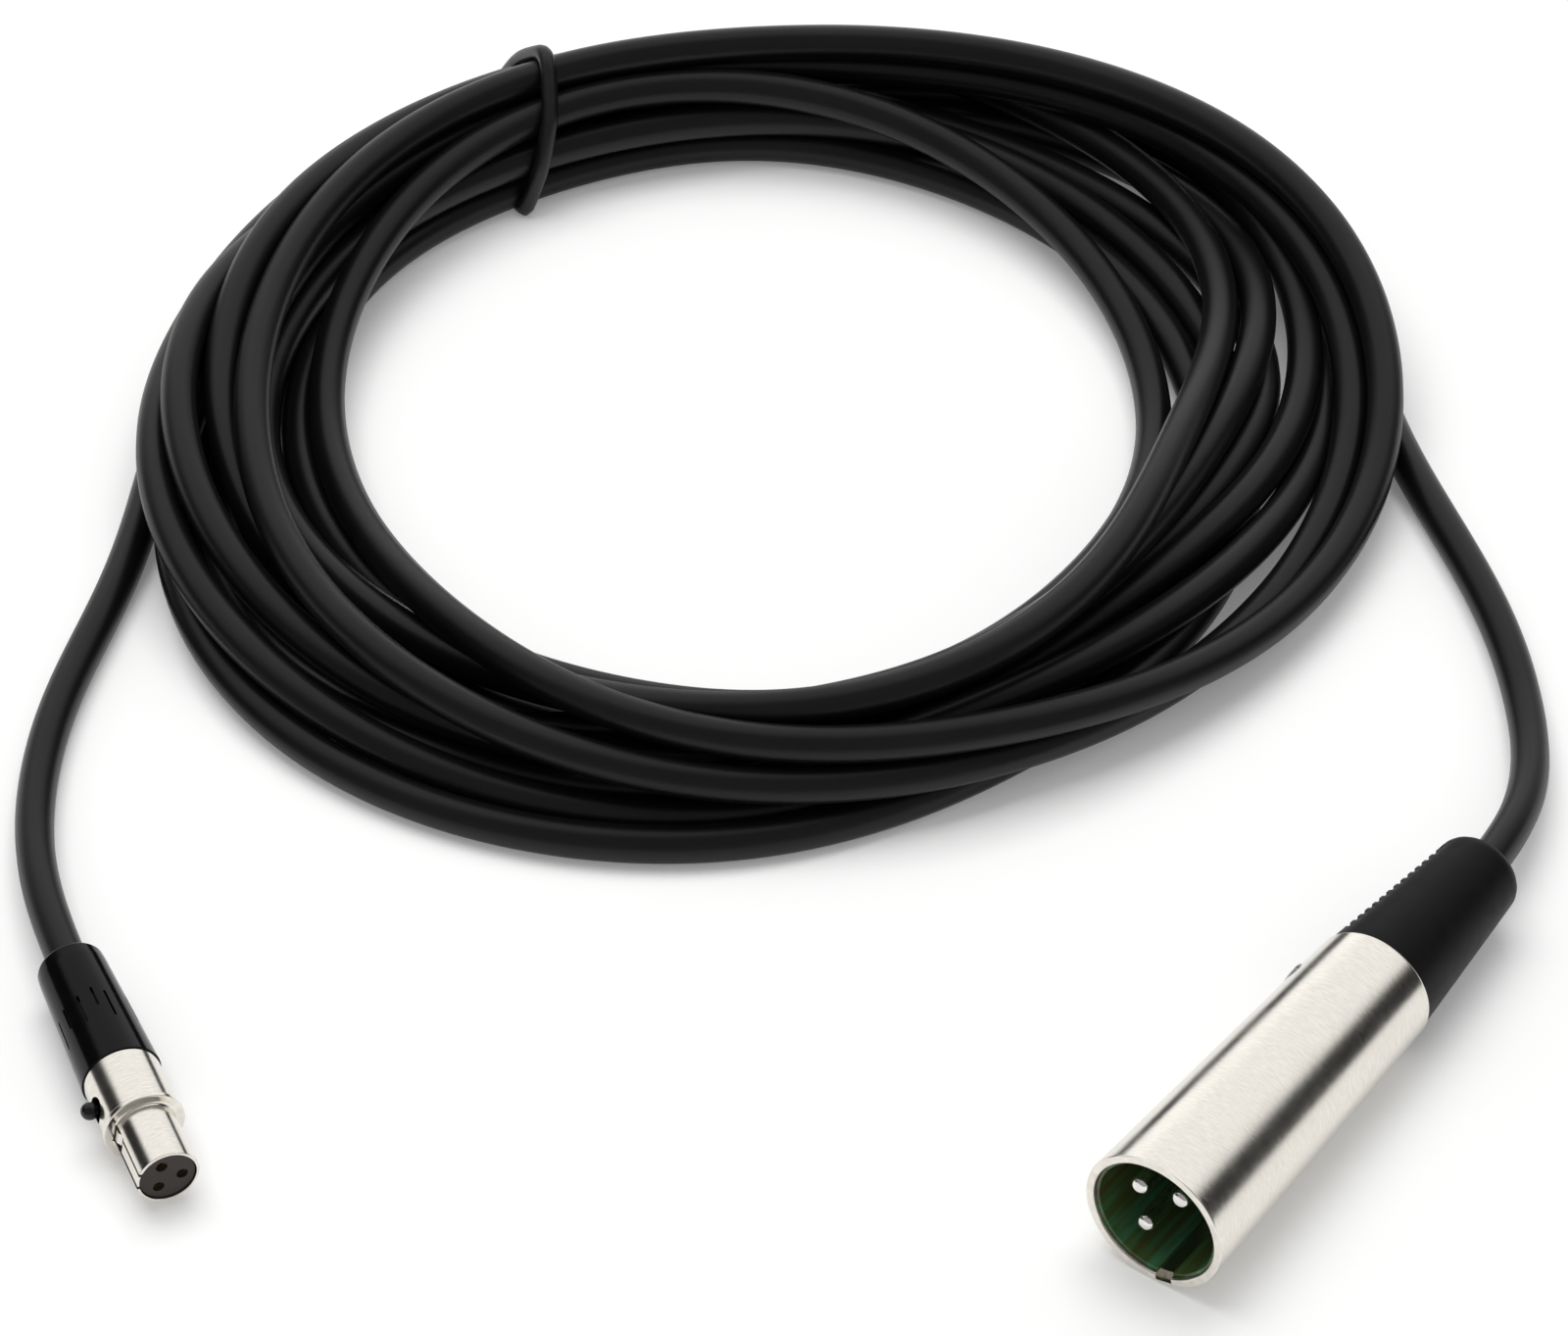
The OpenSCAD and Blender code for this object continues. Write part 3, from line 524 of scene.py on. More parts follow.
def lay_turns():
    """Lets the turns settle on the floor, on each other and in the ring. Gives angle, reach and height."""
    stations = FIRST_STATION + STATION_GAP * np.arange(STATIONS * len(REACH))
    fine = FIRST_STATION + STEP * np.arange(PARTS * (len(stations) - 1) + 1)
    angle = np.arange(LINE_FROM, LINE_TO + 0.01, STEP)
    reach = np.interp(angle, fine, eased_line(sum(REACH, []), PARTS))
    layer = np.interp(angle, fine, eased_line(sum(LAYER, []), PARTS))
    shown = np.interp(angle, stations, [float(c) for row in SHOWN for c in row])
    turn = np.radians(angle)
    outward = np.stack([np.cos(turn), np.sin(turn)], 1)
    spot = COIL_MIDDLE + reach[:, None] * outward
    eye = np.array([0.0, -CAMERA_BACK])
    slide = ((eye - spot) * outward).sum(1) / (CAMERA_HEIGHT - READ_HEIGHT)
    entry = angle <= ENTRY[-1][0]
    departure = angle >= DEPARTURE[0][0]
    fixed = (angle <= STILL_TO) | (angle >= STILL_FROM)
    start = np.interp(angle, *zip(*ENTRY))
    end = np.interp(angle, *zip(*DEPARTURE))
    layer[entry] = 1
    layer[departure] = LAST_LAYER
    shown[entry | departure] = 1
    hold = Spring(FAINT_HOLD + shown, HELD_STIFFNESS)
    stiff_reach = springy(REACH_STIFFNESS)
    stiff_height = springy(HEIGHT_STIFFNESS)

    def wanted(height):
        r = reach + slide * (height - READ_HEIGHT)
        r[entry] = start[entry]
        r[departure] = end[departure]
        return hold(r)

    z = np.clip(RADIUS + LAYER_RISE * (layer - 1), RADIUS, START_ROOF)
    aim = wanted(z)
    r = aim.copy()
    z = first_heights(r, z, layer)
    for _ in range(3):
        z = eased(z, stiff_height)
    z[fixed] = RADIUS
    half = RADIUS * np.sqrt(1 + slide**2)
    inner = edge_at(angle, INNER_EDGE) + half
    outer = edge_at(angle, OUTER_EDGE) - half
    outer[entry | departure] = NO_WALL
    hidden_roof = HIDDEN_ROOF + HIDDEN_RISE * (np.maximum(layer, 1) - 1)
    roof = eased(np.where(shown > 0.5, ROOF, hidden_roof), stiff_reach)
    read = np.minimum(z, READ_ROOF)
    near_ring = np.exp(-((((angle % 360) - RING_ANGLE) / RING_SPREAD) ** 2))
    loose = 1 - GRIP * shown
    for step in range(SETTLING_ROUNDS):
        if step % READING_GAP == 0:
            read = 0.8 * read + 0.2 * np.minimum(z, READ_ROOF)
            aim = wanted(read)
        z = z - SINK * (1 - 0.6 * step / SETTLING_ROUNDS)
        r = r + (aim - r) * DRAW * (0.1 + 0.9 * shown)
        r = np.where(fixed, r, eased(r, stiff_reach))
        z = np.where(fixed, z, eased(z, stiff_height))
        slant = np.gradient(r) / (r * radians(STEP))
        lean = 1 / np.sqrt(1 + slant**2)
        for _ in range(TOUCHES_A_ROUND):
            push_r, push_z = give_way(r, z, lean, loose)
            r = np.where(fixed, r, r + push_r)
            z = np.where(fixed, z, z + push_z)
            pull = ring_pull(r, z, near_ring)
            r = r - pull * (r - RING_REACH)
            z = np.clip(z - pull * (z - RING_HEIGHT), RADIUS, np.maximum(roof, near_ring * ROOF))
            drift = slide * (z - READ_HEIGHT)
            nudge = np.minimum(0, outer + drift - r) + np.maximum(0, inner + drift - r)
            r = np.where(fixed, r, r + nudge)
            z[fixed] = RADIUS
    r, z = calmed(r, z, inner, outer, slide, fixed)
    return angle, r, z


def calmed(r, z, inner, outer, slide, fixed):
    """Takes the last kinks out, while the strands stay apart and between the coil's edges."""
    share = springy(CALM_STIFFNESS)
    for _ in range(CALMING_ROUNDS):
        drift = slide * (z - READ_HEIGHT)
        r = np.where(fixed, r, np.clip(r, inner + drift, outer + drift))
        r = np.where(fixed, r, eased(r, share))
        z = np.where(fixed, z, np.maximum(eased(z, share), RADIUS))
        for a, b in whole_turns_apart(len(r)):
            x = r[b] - r[a]
            y = z[b] - z[a]
            d = np.hypot(x, y) + TINY
            over = CALM_PUSH * np.maximum(0, CABLE - d)
            r[a] -= over * x / d * ~fixed[a]
            r[b] += over * x / d * ~fixed[b]
            z[a] -= over * y / d * ~fixed[a]
            z[b] += over * y / d * ~fixed[b]
        z = np.maximum(z, RADIUS)
    return r, z


def evenly(points, gap, closed=False):
    """A smooth line through the points, as new points about a gap apart."""
    p = np.asarray(points, float)
    if closed:
        p = np.concatenate([p[-2:], p, p[:3]])
    parts = 6
    fine = np.stack([eased_line(p[:, k], parts) for k in range(3)], 1)
    if closed:
        fine = fine[2 * parts : len(fine) - 2 * parts]
    run = np.concatenate([[0], np.cumsum(np.linalg.norm(np.diff(fine, axis=0), axis=1))])
    count = max(8, int(round(run[-1] / gap)))
    at = np.linspace(0, run[-1], count, endpoint=not closed)
    return np.stack([np.interp(at, run, fine[:, k]) for k in range(3)], 1)


def cable_line():
    """The whole cable from boot to boot: one uncoiled stretch, the turns and the other stretch."""
    angle, r, z = lay_turns()
    part = (angle >= COIL_FROM) & (angle <= COIL_TO)
    turn = np.radians(angle[part])
    across = COIL_MIDDLE[0] + r[part] * np.cos(turn)
    back = COIL_MIDDLE[1] + r[part] * np.sin(turn)
    coil = np.stack([across, back, z[part]], 1)
    joined = np.concatenate([np.array(LEAD_XLR), coil, np.array(LEAD_MINI)])
    whole = evenly(joined, JOINED_POINT_GAP)
    share = springy(JOINED_STIFFNESS)
    for _ in range(3):
        whole = np.stack([eased(whole[:, k], share) for k in range(3)], 1)
    whole[:, 2] = np.maximum(whole[:, 2], RADIUS)
    whole[0] = LEAD_XLR[0]
    whole[-1] = LEAD_MINI[-1]
    return whole


def round_cord(name, points, radius, closed=False, sides_level=5):
    """A mesh tube along points in metres, with its run and its side kept in the attribute lay."""
    curve = bpy.data.curves.new(name, "CURVE")
    curve.dimensions = "3D"
    spline = curve.splines.new("POLY")
    spline.points.add(len(points) - 1)
    spline.points.foreach_set("co", np.concatenate([points, np.ones((len(points), 1))], 1).ravel())
    spline.use_cyclic_u = closed
    curve.bevel_depth = radius
    curve.bevel_resolution = sides_level
    curve.use_fill_caps = not closed
    holder = bpy.data.objects.new(name + "_line", curve)
    bpy.context.scene.collection.objects.link(holder)
    bpy.context.view_layer.update()
    mesh = bpy.data.meshes.new_from_object(holder.evaluated_get(bpy.context.evaluated_depsgraph_get()))
    bpy.data.objects.remove(holder)
    mesh.name = name
    obj = bpy.data.objects.new(name, mesh)
    bpy.context.scene.collection.objects.link(obj)
    sides = 4 + 2 * sides_level
    run = np.concatenate([[0], np.cumsum(np.linalg.norm(np.diff(points, axis=0), axis=1))])
    along = np.repeat(run, sides) / MM
    around = np.tile(np.arange(sides) * 2 * pi / sides, len(points))
    spin = np.stack([along, np.cos(around), np.sin(around)], 1)
    spin = np.concatenate([spin, np.repeat(spin[-1:], len(mesh.vertices) - len(spin), 0)])
    mark = mesh.attributes.new("lay", "FLOAT_VECTOR", "POINT")
    mark.data.foreach_set("vector", spin.astype(np.float32).ravel())
    mesh.polygons.foreach_set("use_smooth", np.ones(len(mesh.polygons), bool))
    return obj


# ---- Finishes ----


def jacket_finish():
    """Satin black cable jacket, with faint marks drawn along the cable."""
    f = new_finish("jacket")
    where = f.coordinates()
    broad = f.noise(where, 0.05, 2)
    fine = f.noise(where, 2.2, 4)
    lay = f.node("ShaderNodeAttribute", {"attribute_name": "lay"}, out=1)
    stretched = f.node("ShaderNodeMapping", {}, {"Vector": lay, "Scale": (0.02, 3.0, 3.0)})
    drawn = f.noise(stretched, 1.0, 3)
    colour = f.ramp(broad, (0.3, hue(0.0026, 0.0026, 0.0025)), (0.7, hue(0.0044, 0.0044, 0.0042)))
    rough = f.between(drawn + 0.5 * fine, 0.4, 1.1, 0.32, 0.42)
    height = 0.6 * drawn + 0.4 * fine
    f.surface(
        Base_Color=colour,
        Roughness=rough,
        Normal=f.bump(height, 0.04, 0.3),
        Specular_IOR_Level=0.26,
    )
    return f.owner


def rubber_finish(name, shade=0.010, rough=0.5, specular=0.45):
    f = new_finish(name)
    where = f.coordinates()
    cloud = f.noise(where, 0.4, 3)
    grain = f.noise(where, 6.0, 3)
    dark = hue(shade, shade, shade * 1.05)
    light = hue(shade * 1.5, shade * 1.5, shade * 1.55)
    colour = f.ramp(cloud, (0.3, dark), (0.7, light))
    f.surface(
        Base_Color=colour,
        Roughness=f.between(grain + cloud, 0.6, 1.4, rough - 0.06, rough + 0.08),
        Normal=f.bump(grain, 0.03, 0.4),
        Specular_IOR_Level=specular,
    )
    return f.owner


def nickel_finish(name, place, grain=1.0, rough=0.17, tint=(0.80, 0.765, 0.70)):
    f = new_finish(name)
    fine = f.noise(f.coordinates(place, (16.0, 1.1, 1.1)), 1.0, 2, 0.55)
    short = f.noise(f.coordinates(place, (7.0, 0.8, 0.8)), 1.0, 3, 0.6)
    cloud = f.noise(f.coordinates(place), 0.12, 3)
    low = hue(*(0.90 * c for c in tint))
    high = hue(*(min(1, 1.06 * c) for c in tint))
    colour = f.blend(f.between(short, 0.35, 0.65), low, high)
    f.surface(
        Base_Color=colour,
        Metallic=1.0,
        Roughness=f.between(short + cloud, 0.7, 1.3, rough, rough + 0.09 * grain),
        Normal=f.bump(fine, 0.006 * grain, 0.5, f.bump(short, 0.010 * grain, 0.5)),
    )
    return f.owner


def metal_finish(name, tint, rough=0.25):
    f = new_finish(name)
    where = f.coordinates()
    cloud = f.noise(where, 0.6, 3)
    fine = f.noise(where, 5.0, 3)
    low = hue(*(0.85 * c for c in tint))
    colour = f.blend(f.between(cloud, 0.35, 0.65), low, hue(*tint))
    f.surface(
        Base_Color=colour,
        Metallic=1.0,
        Roughness=f.between(cloud + fine, 0.6, 1.4, rough * 0.8, rough * 1.3),
        Normal=f.bump(fine, 0.008, 0.3),
    )
    return f.owner


def plastic_finish(name, tint, rough=0.3, specular=0.5, coat=0.0):
    f = new_finish(name)
    where = f.coordinates()
    cloud = f.noise(where, 0.35, 3)
    fine = f.noise(where, 4.0, 3)
    low = hue(*(0.8 * c for c in tint))
    colour = f.blend(f.between(cloud, 0.35, 0.65), low, hue(*tint))
    f.surface(
        Base_Color=colour,
        Roughness=f.between(cloud + fine, 0.6, 1.4, rough * 0.8, rough * 1.25),
        Normal=f.bump(fine, 0.012, 0.3),
        Specular_IOR_Level=specular,
        Coat_Weight=coat,
        Coat_Roughness=0.08,
    )
    return f.owner


def green_finish(name, place):
    """Dark green moulding, with lighter streaks along the plug's axis painted in as reflections of the light
    on its inner wall.
    """
    f = new_finish(name)
    drawn = f.noise(f.coordinates(place, (0.05, 0.7, 0.7)), 1.0, 3, 0.55)
    fine = f.noise(f.coordinates(place, (0.3, 3.0, 3.0)), 1.0, 2)
    # painted reflections: the lighter, bluer stop gives streaks along the plug's axis in place of the light
    # its inner wall mirrors
    colour = f.ramp(
        drawn,
        (0.32, hue(0.060, 0.060, 0.020)),
        (0.50, hue(0.055, 0.100, 0.030)),
        (0.68, hue(0.050, 0.190, 0.100)),
    )
    f.surface(
        Base_Color=colour,
        Roughness=f.between(drawn, 0.3, 0.7, 0.12, 0.24),
        Normal=f.bump(fine, 0.015, 0.4),
        Specular_IOR_Level=0.55,
    )
    return f.owner


def plug_frame(mouth, turn, tilt=0):
    """A plug's own axes: x runs backwards from the middle of its mouth, and z up."""
    place = Matrix.Translation(Vector(mouth) * MM)
    return place @ Matrix.Rotation(radians(turn), 4, "Z") @ Matrix.Rotation(radians(tilt), 4, "Y")


XLR = plug_frame((43, -116, 9.446), 54, 1.695)
MINI = plug_frame((-73, -105, 5.1), 113)

FINISHES = {
    "jacket": jacket_finish(),
    "tie_rubber": rubber_finish("tie_rubber", 0.0045, 0.36, 0.35),
    "nickel": nickel_finish("nickel", XLR),
    "mini_nickel": nickel_finish("mini_nickel", MINI, 0.5, 0.15),
    "block_green": green_finish("block_green", XLR),
    "block_black": plastic_finish("block_black", (0.034, 0.027, 0.023), 0.42, 0.3),
    "pin_silver": metal_finish("pin_silver", (0.86, 0.85, 0.82), 0.12),
    "contact_brass": metal_finish("contact_brass", (0.62, 0.45, 0.22), 0.3),
    "screw_steel": metal_finish("screw_steel", (0.55, 0.54, 0.52), 0.28),
    "clamp_metal": metal_finish("clamp_metal", (0.60, 0.59, 0.56), 0.35),
    "boot_rubber": rubber_finish("boot_rubber", 0.0022, 0.46, 0.11),
    "boot_gloss": plastic_finish("boot_gloss", (0.0026, 0.0026, 0.0026), 0.13, 0.13),
    "latch_steel": metal_finish("latch_steel", (0.74, 0.73, 0.70), 0.2),
    "button_black": plastic_finish("button_black", (0.004, 0.004, 0.0042), 0.12, 0.35),
    "bare_copper": metal_finish("bare_copper", (0.85, 0.45, 0.26), 0.3),
    "wire_red": plastic_finish("wire_red", (0.32, 0.02, 0.015), 0.4),
    "wire_white": plastic_finish("wire_white", (0.68, 0.67, 0.63), 0.4),
}
NODE_SLOTS = {
    "tie_rubber": ["tie_ring"],
    "nickel": ["xlr_shell"],
    "mini_nickel": ["mini_shell"],
    "block_green": ["xlr_contact_block"],
    "block_black": ["mini_contact_face", "mini_contact_block"],
    "pin_silver": ["xlr_pin_1", "xlr_pin_2", "xlr_pin_3"],
    "contact_brass": ["xlr_shell_tab", "mini_socket_1", "mini_socket_2", "mini_socket_3"],
    "screw_steel": ["xlr_retaining_screw", "xlr_clamp_screws"],
    "clamp_metal": ["xlr_clamp_base", "xlr_clamp_cap", "mini_cable_crimp"],
    "boot_rubber": ["xlr_boot"],
    "boot_gloss": ["mini_boot"],
    "latch_steel": ["mini_latch_lever"],
    "button_black": ["mini_release_button"],
    "jacket": ["xlr_cable_end", "mini_cable_end"],
    "bare_copper": ["xlr_wire_1", "mini_wire_1"],
    "wire_red": ["xlr_wire_2", "mini_wire_2"],
    "wire_white": ["xlr_wire_3", "mini_wire_3"],
}
SLOT_OF = {node: slot for slot, nodes in NODE_SLOTS.items() for node in nodes}


def dress(obj, slot):
    obj.data.materials.clear()
    obj.data.materials.append(FINISHES[slot])


# ---- Cord and ring ----

CABLE_POINT_GAP = 1.6

path = evenly(cable_line(), CABLE_POINT_GAP)
cable = round_cord("cable", path * MM, CABLE / 2 * MM)
dress(cable, "jacket")
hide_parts("cable_coil", "cable_lead_xlr", "cable_lead_mini")
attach(cable, "lead")

TIE_RADIUS = 1.2
# The ring's cord lies a little into the strands that it holds
TIE_REACH = RADIUS + 1.0
TIE_ANGLE = 118
TIE_DISTANCE = 65
TIE_HEIGHT = 9.6
TIE_TURN = 107.5
TIE_LEAN = 17
TIE_SIDES = 72
TIE_POINT_GAP = 0.7
# Only strands this near the ring's middle pass through it, and not those across the coil
TIE_ROOM = 30


def tie_loop():
    """The line of the ring's cord: round every strand that crosses its plane, pulled tight."""
    place = radians(TIE_ANGLE)
    across = COIL_MIDDLE[0] + TIE_DISTANCE * cos(place)
    back = COIL_MIDDLE[1] + TIE_DISTANCE * sin(place)
    middle = np.array([across, back, TIE_HEIGHT])
    tilt = Matrix.Rotation(radians(TIE_TURN), 3, "Z") @ Matrix.Rotation(radians(TIE_LEAN), 3, "X")
    wide = np.array(tilt @ Vector((1, 0, 0)))
    high = np.array(tilt @ Vector((0, 0, 1)))
    facing = np.array(tilt @ Vector((0, 1, 0)))
    side = (path - middle) @ facing
    spots = []
    for i in np.where(side[:-1] * side[1:] <= 0)[0]:
        if np.linalg.norm(path[i] - middle) < TIE_ROOM:
            t = side[i] / (side[i] - side[i + 1])
            p = path[i] * (1 - t) + path[i + 1] * t - middle
            spots.append((p @ wide, p @ high))
    spots = np.array(spots)
    loop = []
    for k in range(TIE_SIDES):
        a = 2 * pi * k / TIE_SIDES
        n = np.array([cos(a), sin(a)])
        loop.append(spots[np.argmax(spots @ n)] + n * TIE_REACH)
    loop = np.array(loop)
    for _ in range(6):
        loop = 0.5 * loop + 0.25 * (np.roll(loop, 1, 0) + np.roll(loop, -1, 0))
    return middle + loop[:, :1] * wide + loop[:, 1:] * high


loop = evenly(tie_loop(), TIE_POINT_GAP, closed=True)
loop[:, 2] = np.maximum(loop[:, 2], TIE_RADIUS)
tie = round_cord("tie", loop * MM, TIE_RADIUS * MM, closed=True)
dress(tie, "tie_rubber")
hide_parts("tie_ring")
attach(tie, "lead")


# ---- How the pieces of the two plugs are made ----

SAME_PLACE = 0.0005
EASED_CORNER = 28
SHARP_CORNER = 50


def toward(angle):
    """Turns a plug's up direction to an angle round its axis."""
    return Matrix.Rotation(-radians(angle), 4, "X")


def turned(profile, steps=96):
    """A lathe shape round the x axis, from corners given as place along it and radius, in mm."""
    bm = bmesh.new()
    ends = [bm.verts.new((x, 0, r)) for x, r in profile]
    edges = [bm.edges.new(pair) for pair in zip(ends, ends[1:] + ends[:1])]
    bmesh.ops.spin(
        bm,
        geom=ends + edges,
        cent=(0, 0, 0),
        axis=(1, 0, 0),
        angle=2 * pi,
        steps=steps,
        use_merge=True,
        use_duplicate=False,
    )
    bmesh.ops.remove_doubles(bm, verts=bm.verts, dist=SAME_PLACE)
    bmesh.ops.dissolve_degenerate(bm, edges=bm.edges, dist=SAME_PLACE)
    bmesh.ops.recalc_face_normals(bm, faces=bm.faces)
    return bm


def block(size, middle, turn=None):
    """A cutter with flat sides, in mm."""
    bm = bmesh.new()
    bmesh.ops.create_cube(bm, size=1.0)
    bmesh.ops.scale(bm, vec=size, verts=bm.verts)
    bmesh.ops.translate(bm, vec=middle, verts=bm.verts)
    if turn is not None:
        bmesh.ops.transform(bm, matrix=turn, verts=bm.verts)
    return bm


def round_bar(radius, x0, x1, turn=None, along_z=False, steps=32):
    """A round cutter along x, or along z, in mm."""
    bm = bmesh.new()
    size = {"radius1": radius, "radius2": radius, "depth": x1 - x0}
    bmesh.ops.create_cone(bm, cap_ends=True, segments=steps, **size)
    bmesh.ops.translate(bm, vec=(0, 0, (x0 + x1) / 2), verts=bm.verts)
    if not along_z:
        bmesh.ops.rotate(bm, matrix=Matrix.Rotation(radians(90), 3, "Y"), verts=bm.verts)
    if turn is not None:
        bmesh.ops.transform(bm, matrix=turn, verts=bm.verts)
    return bm


def settle(obj):
    """Makes what the modifiers give the object's own mesh."""
    bpy.context.view_layer.update()
    made = bpy.data.meshes.new_from_object(obj.evaluated_get(bpy.context.evaluated_depsgraph_get()))
    made.name = obj.name
    obj.modifiers.clear()
    obj.data = made


def finished(name, bm, plug, slot, stands_for, spot=Matrix(), body="lead", cuts=(), eased_by=0):
    """Cuts, eases the corners and puts the shape in its spot on a plug as one piece of the object."""
    obj = as_object(name, bm)
    for cutter in cuts:
        tool = as_object("cutter", cutter)
        cut = obj.modifiers.new("cut", "BOOLEAN")
        cut.operation = "DIFFERENCE"
        cut.solver = "EXACT"
        cut.object = tool
        settle(obj)
        bpy.data.objects.remove(tool)
    if eased_by:
        ease = obj.modifiers.new("ease", "BEVEL")
        ease.limit_method = "ANGLE"
        ease.angle_limit = radians(EASED_CORNER)
        ease.width = eased_by
        ease.segments = 2
    settle(obj)
    obj.data.polygons.foreach_set("use_smooth", np.ones(len(obj.data.polygons), bool))
    obj.data.set_sharp_from_angle(angle=radians(SHARP_CORNER))
    even = obj.modifiers.new("even", "WEIGHTED_NORMAL")
    even.keep_sharp = True
    even.weight = 100
    settle(obj)
    obj.data.transform(plug @ Matrix.Scale(MM, 4) @ spot)
    dress(obj, slot)
    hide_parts(*stands_for)
    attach(obj, body)


def rounded_end(x, r, radius, parts=5):
    """Corners of a quarter round from the side to the rear face."""
    return [
        (x - radius + radius * sin(pi / 2 * k / parts), r - radius + radius * cos(pi / 2 * k / parts))
        for k in range(parts + 1)
    ]


# ---- The XLR plug ----

XLR_SHELL_LENGTH = 49
KEYWAY_ANGLE = 194
KEYWAY_WIDTH = 2.2
SCREW_ANGLE = 66
SCREW_PLACE = 42
SCREW_SEAT = 3.79
PIN_CIRCLE = 4.05
PIN_ANGLES = (57, -33, 147)
PIN_TIP = 2.5
PIN_TIP_ROUND = 0.8
XLR_BLOCK_FACE = 14.5
XLR_BLOCK_REAR = 19


def xlr_shell():
    """Tapered shell with a rounded mouth, a notch at the keyway and a stepped hole for the screw."""
    profile = [(0.09, 8.39), (0, 8.62), (0, 9.1), (0.1, 9.36), (0.34, 9.44)]
    profile += [(48.7, 8.0), (48.94, 7.9), (XLR_SHELL_LENGTH, 7.7), (XLR_SHELL_LENGTH, 6.9)]
    profile += [(XLR_BLOCK_REAR, 6.9), (XLR_BLOCK_REAR, 8.3), (0.3, 8.3)]
    at_screw = toward(SCREW_ANGLE) @ Matrix.Translation((SCREW_PLACE, 0, 0))
    notch = block((2.4, KEYWAY_WIDTH, 2.0), (0, 0, 7.99), toward(KEYWAY_ANGLE))
    screw_hole = round_bar(0.95, 5, 10, at_screw, True)
    screw_sink = round_bar(1.55, 7.85, 10, at_screw, True)
    cuts = [notch, screw_hole, screw_sink]
    finished("male_shell", turned(profile, 128), XLR, "nickel", ["xlr_shell"], cuts=cuts)


def at_pin(angle):
    return toward(angle) @ Matrix.Translation((0, 0, PIN_CIRCLE))


def xlr_contact_block():
    """The block that holds the pins and its thin liner, with the keyway cut in the liner."""
    profile = [(XLR_BLOCK_FACE, 0), (XLR_BLOCK_FACE, 7.9), (0.7, 7.9), (0.6, 8.0), (0.6, 8.25)]
    profile += [(XLR_BLOCK_REAR, 8.25), (XLR_BLOCK_REAR, 0)]
    keyway = block((30, KEYWAY_WIDTH, 2.0), (0, 0, 8.35), toward(KEYWAY_ANGLE))
    seats = [round_bar(1.45, 10, 20, at_pin(angle)) for angle in PIN_ANGLES]
    finished(
        "male_contact_block",
        turned(profile),
        XLR,
        "block_green",
        ["xlr_contact_block"],
        cuts=[keyway] + seats,
        eased_by=0.07,
    )


def xlr_pin(number, angle):
    """A pin with a rounded tip, a thicker root in the block and a hollow cup for the wire."""
    tip = []
    for a in [radians(d) for d in (15, 30, 45, 60, 75, 90)]:
        tip.append((PIN_TIP - PIN_TIP_ROUND * cos(a), 0.4 + PIN_TIP_ROUND * sin(a)))
    root = [(XLR_BLOCK_FACE, 1.2), (XLR_BLOCK_FACE, 1.45), (XLR_BLOCK_REAR, 1.45)]
    cup = [(XLR_BLOCK_REAR, 1.6), (25, 1.6), (25, 1.15), (21.4, 1.15), (21.4, 0)]
    finished(
        "male_pin_%d" % number,
        turned([(1.7, 0)] + tip + root + cup, 48),
        XLR,
        "pin_silver",
        ["xlr_pin_%d" % number],
        spot=at_pin(angle),
        eased_by=0.06,
    )


def xlr_retaining_screw():
    """A slotted screw that stands in the shell's side."""
    shank = [(0, 0), (0, 0.9), (4, 0.9)]
    head = [(4, 1.45), (4.5, 1.45), (4.6, 1.25), (4.66, 0.7), (4.68, 0)]
    seat = toward(SCREW_ANGLE) @ Matrix.Translation((SCREW_PLACE, 0, SCREW_SEAT))
    finished(
        "male_retaining_screw",
        turned(shank + head, 48),
        XLR,
        "screw_steel",
        ["xlr_retaining_screw"],
        spot=seat @ Matrix.Rotation(radians(-90), 4, "Y"),
        cuts=[block((0.6, 4, 0.4), (4.6, 0, 0))],
        eased_by=0.04,
    )


XLR_BOOT_END = 75
XLR_BOOT_FRONT_RADIUS = 7.75
XLR_BOOT_REAR_RADIUS = 5.5
XLR_BOOT_END_ROUND = 2.0
XLR_BOOT_BORE = 2.58
# The side is cut in short steps, fine enough for the ribs
SIDE_STEP = 0.14
SIDE_STEPS = 171
# Where the ribs are, along the boot and round it, with the degrees over which they fade in and out
RIBS_FROM = 51.3
RIBS_TO = 72.6
FIRST_GROOVE = 51.6
RIB_GAP = 1.5
GROOVE_DEPTH = 0.25
GROOVE_HALF_WIDTH = 0.42
RIBBED_FROM = 40
RIBBED_TO = 152
RIBS_FADE_IN = 8
RIBS_FADE_OUT = 12
# Up to one angle the ribs run back by this much of the way round, and past it they run square
RIB_SLANT = 0.753
SLANT_MIDDLE = 62
SLANT_TO = 84


def boot_side(x):
    taper = XLR_BOOT_REAR_RADIUS - XLR_BOOT_FRONT_RADIUS
    length = XLR_BOOT_END - XLR_SHELL_LENGTH
    return XLR_BOOT_FRONT_RADIUS + taper * (x - XLR_SHELL_LENGTH) / length


def groove_depth(x, angle, r):
    """How deep the surface lies under the ribs' tops at a place along the boot and round it."""
    share = min(1, max(0, (angle - RIBBED_FROM) / RIBS_FADE_IN), max(0, (RIBBED_TO - angle) / RIBS_FADE_OUT))
    swept = RIB_SLANT * r * radians(min(angle, SLANT_TO) - SLANT_MIDDLE)
    part = (x - FIRST_GROOVE - swept) / RIB_GAP % 1
    near = min(part, 1 - part) * RIB_GAP
    return GROOVE_DEPTH * share * max(0, 1 - (near / GROOVE_HALF_WIDTH) ** 2) ** 0.5


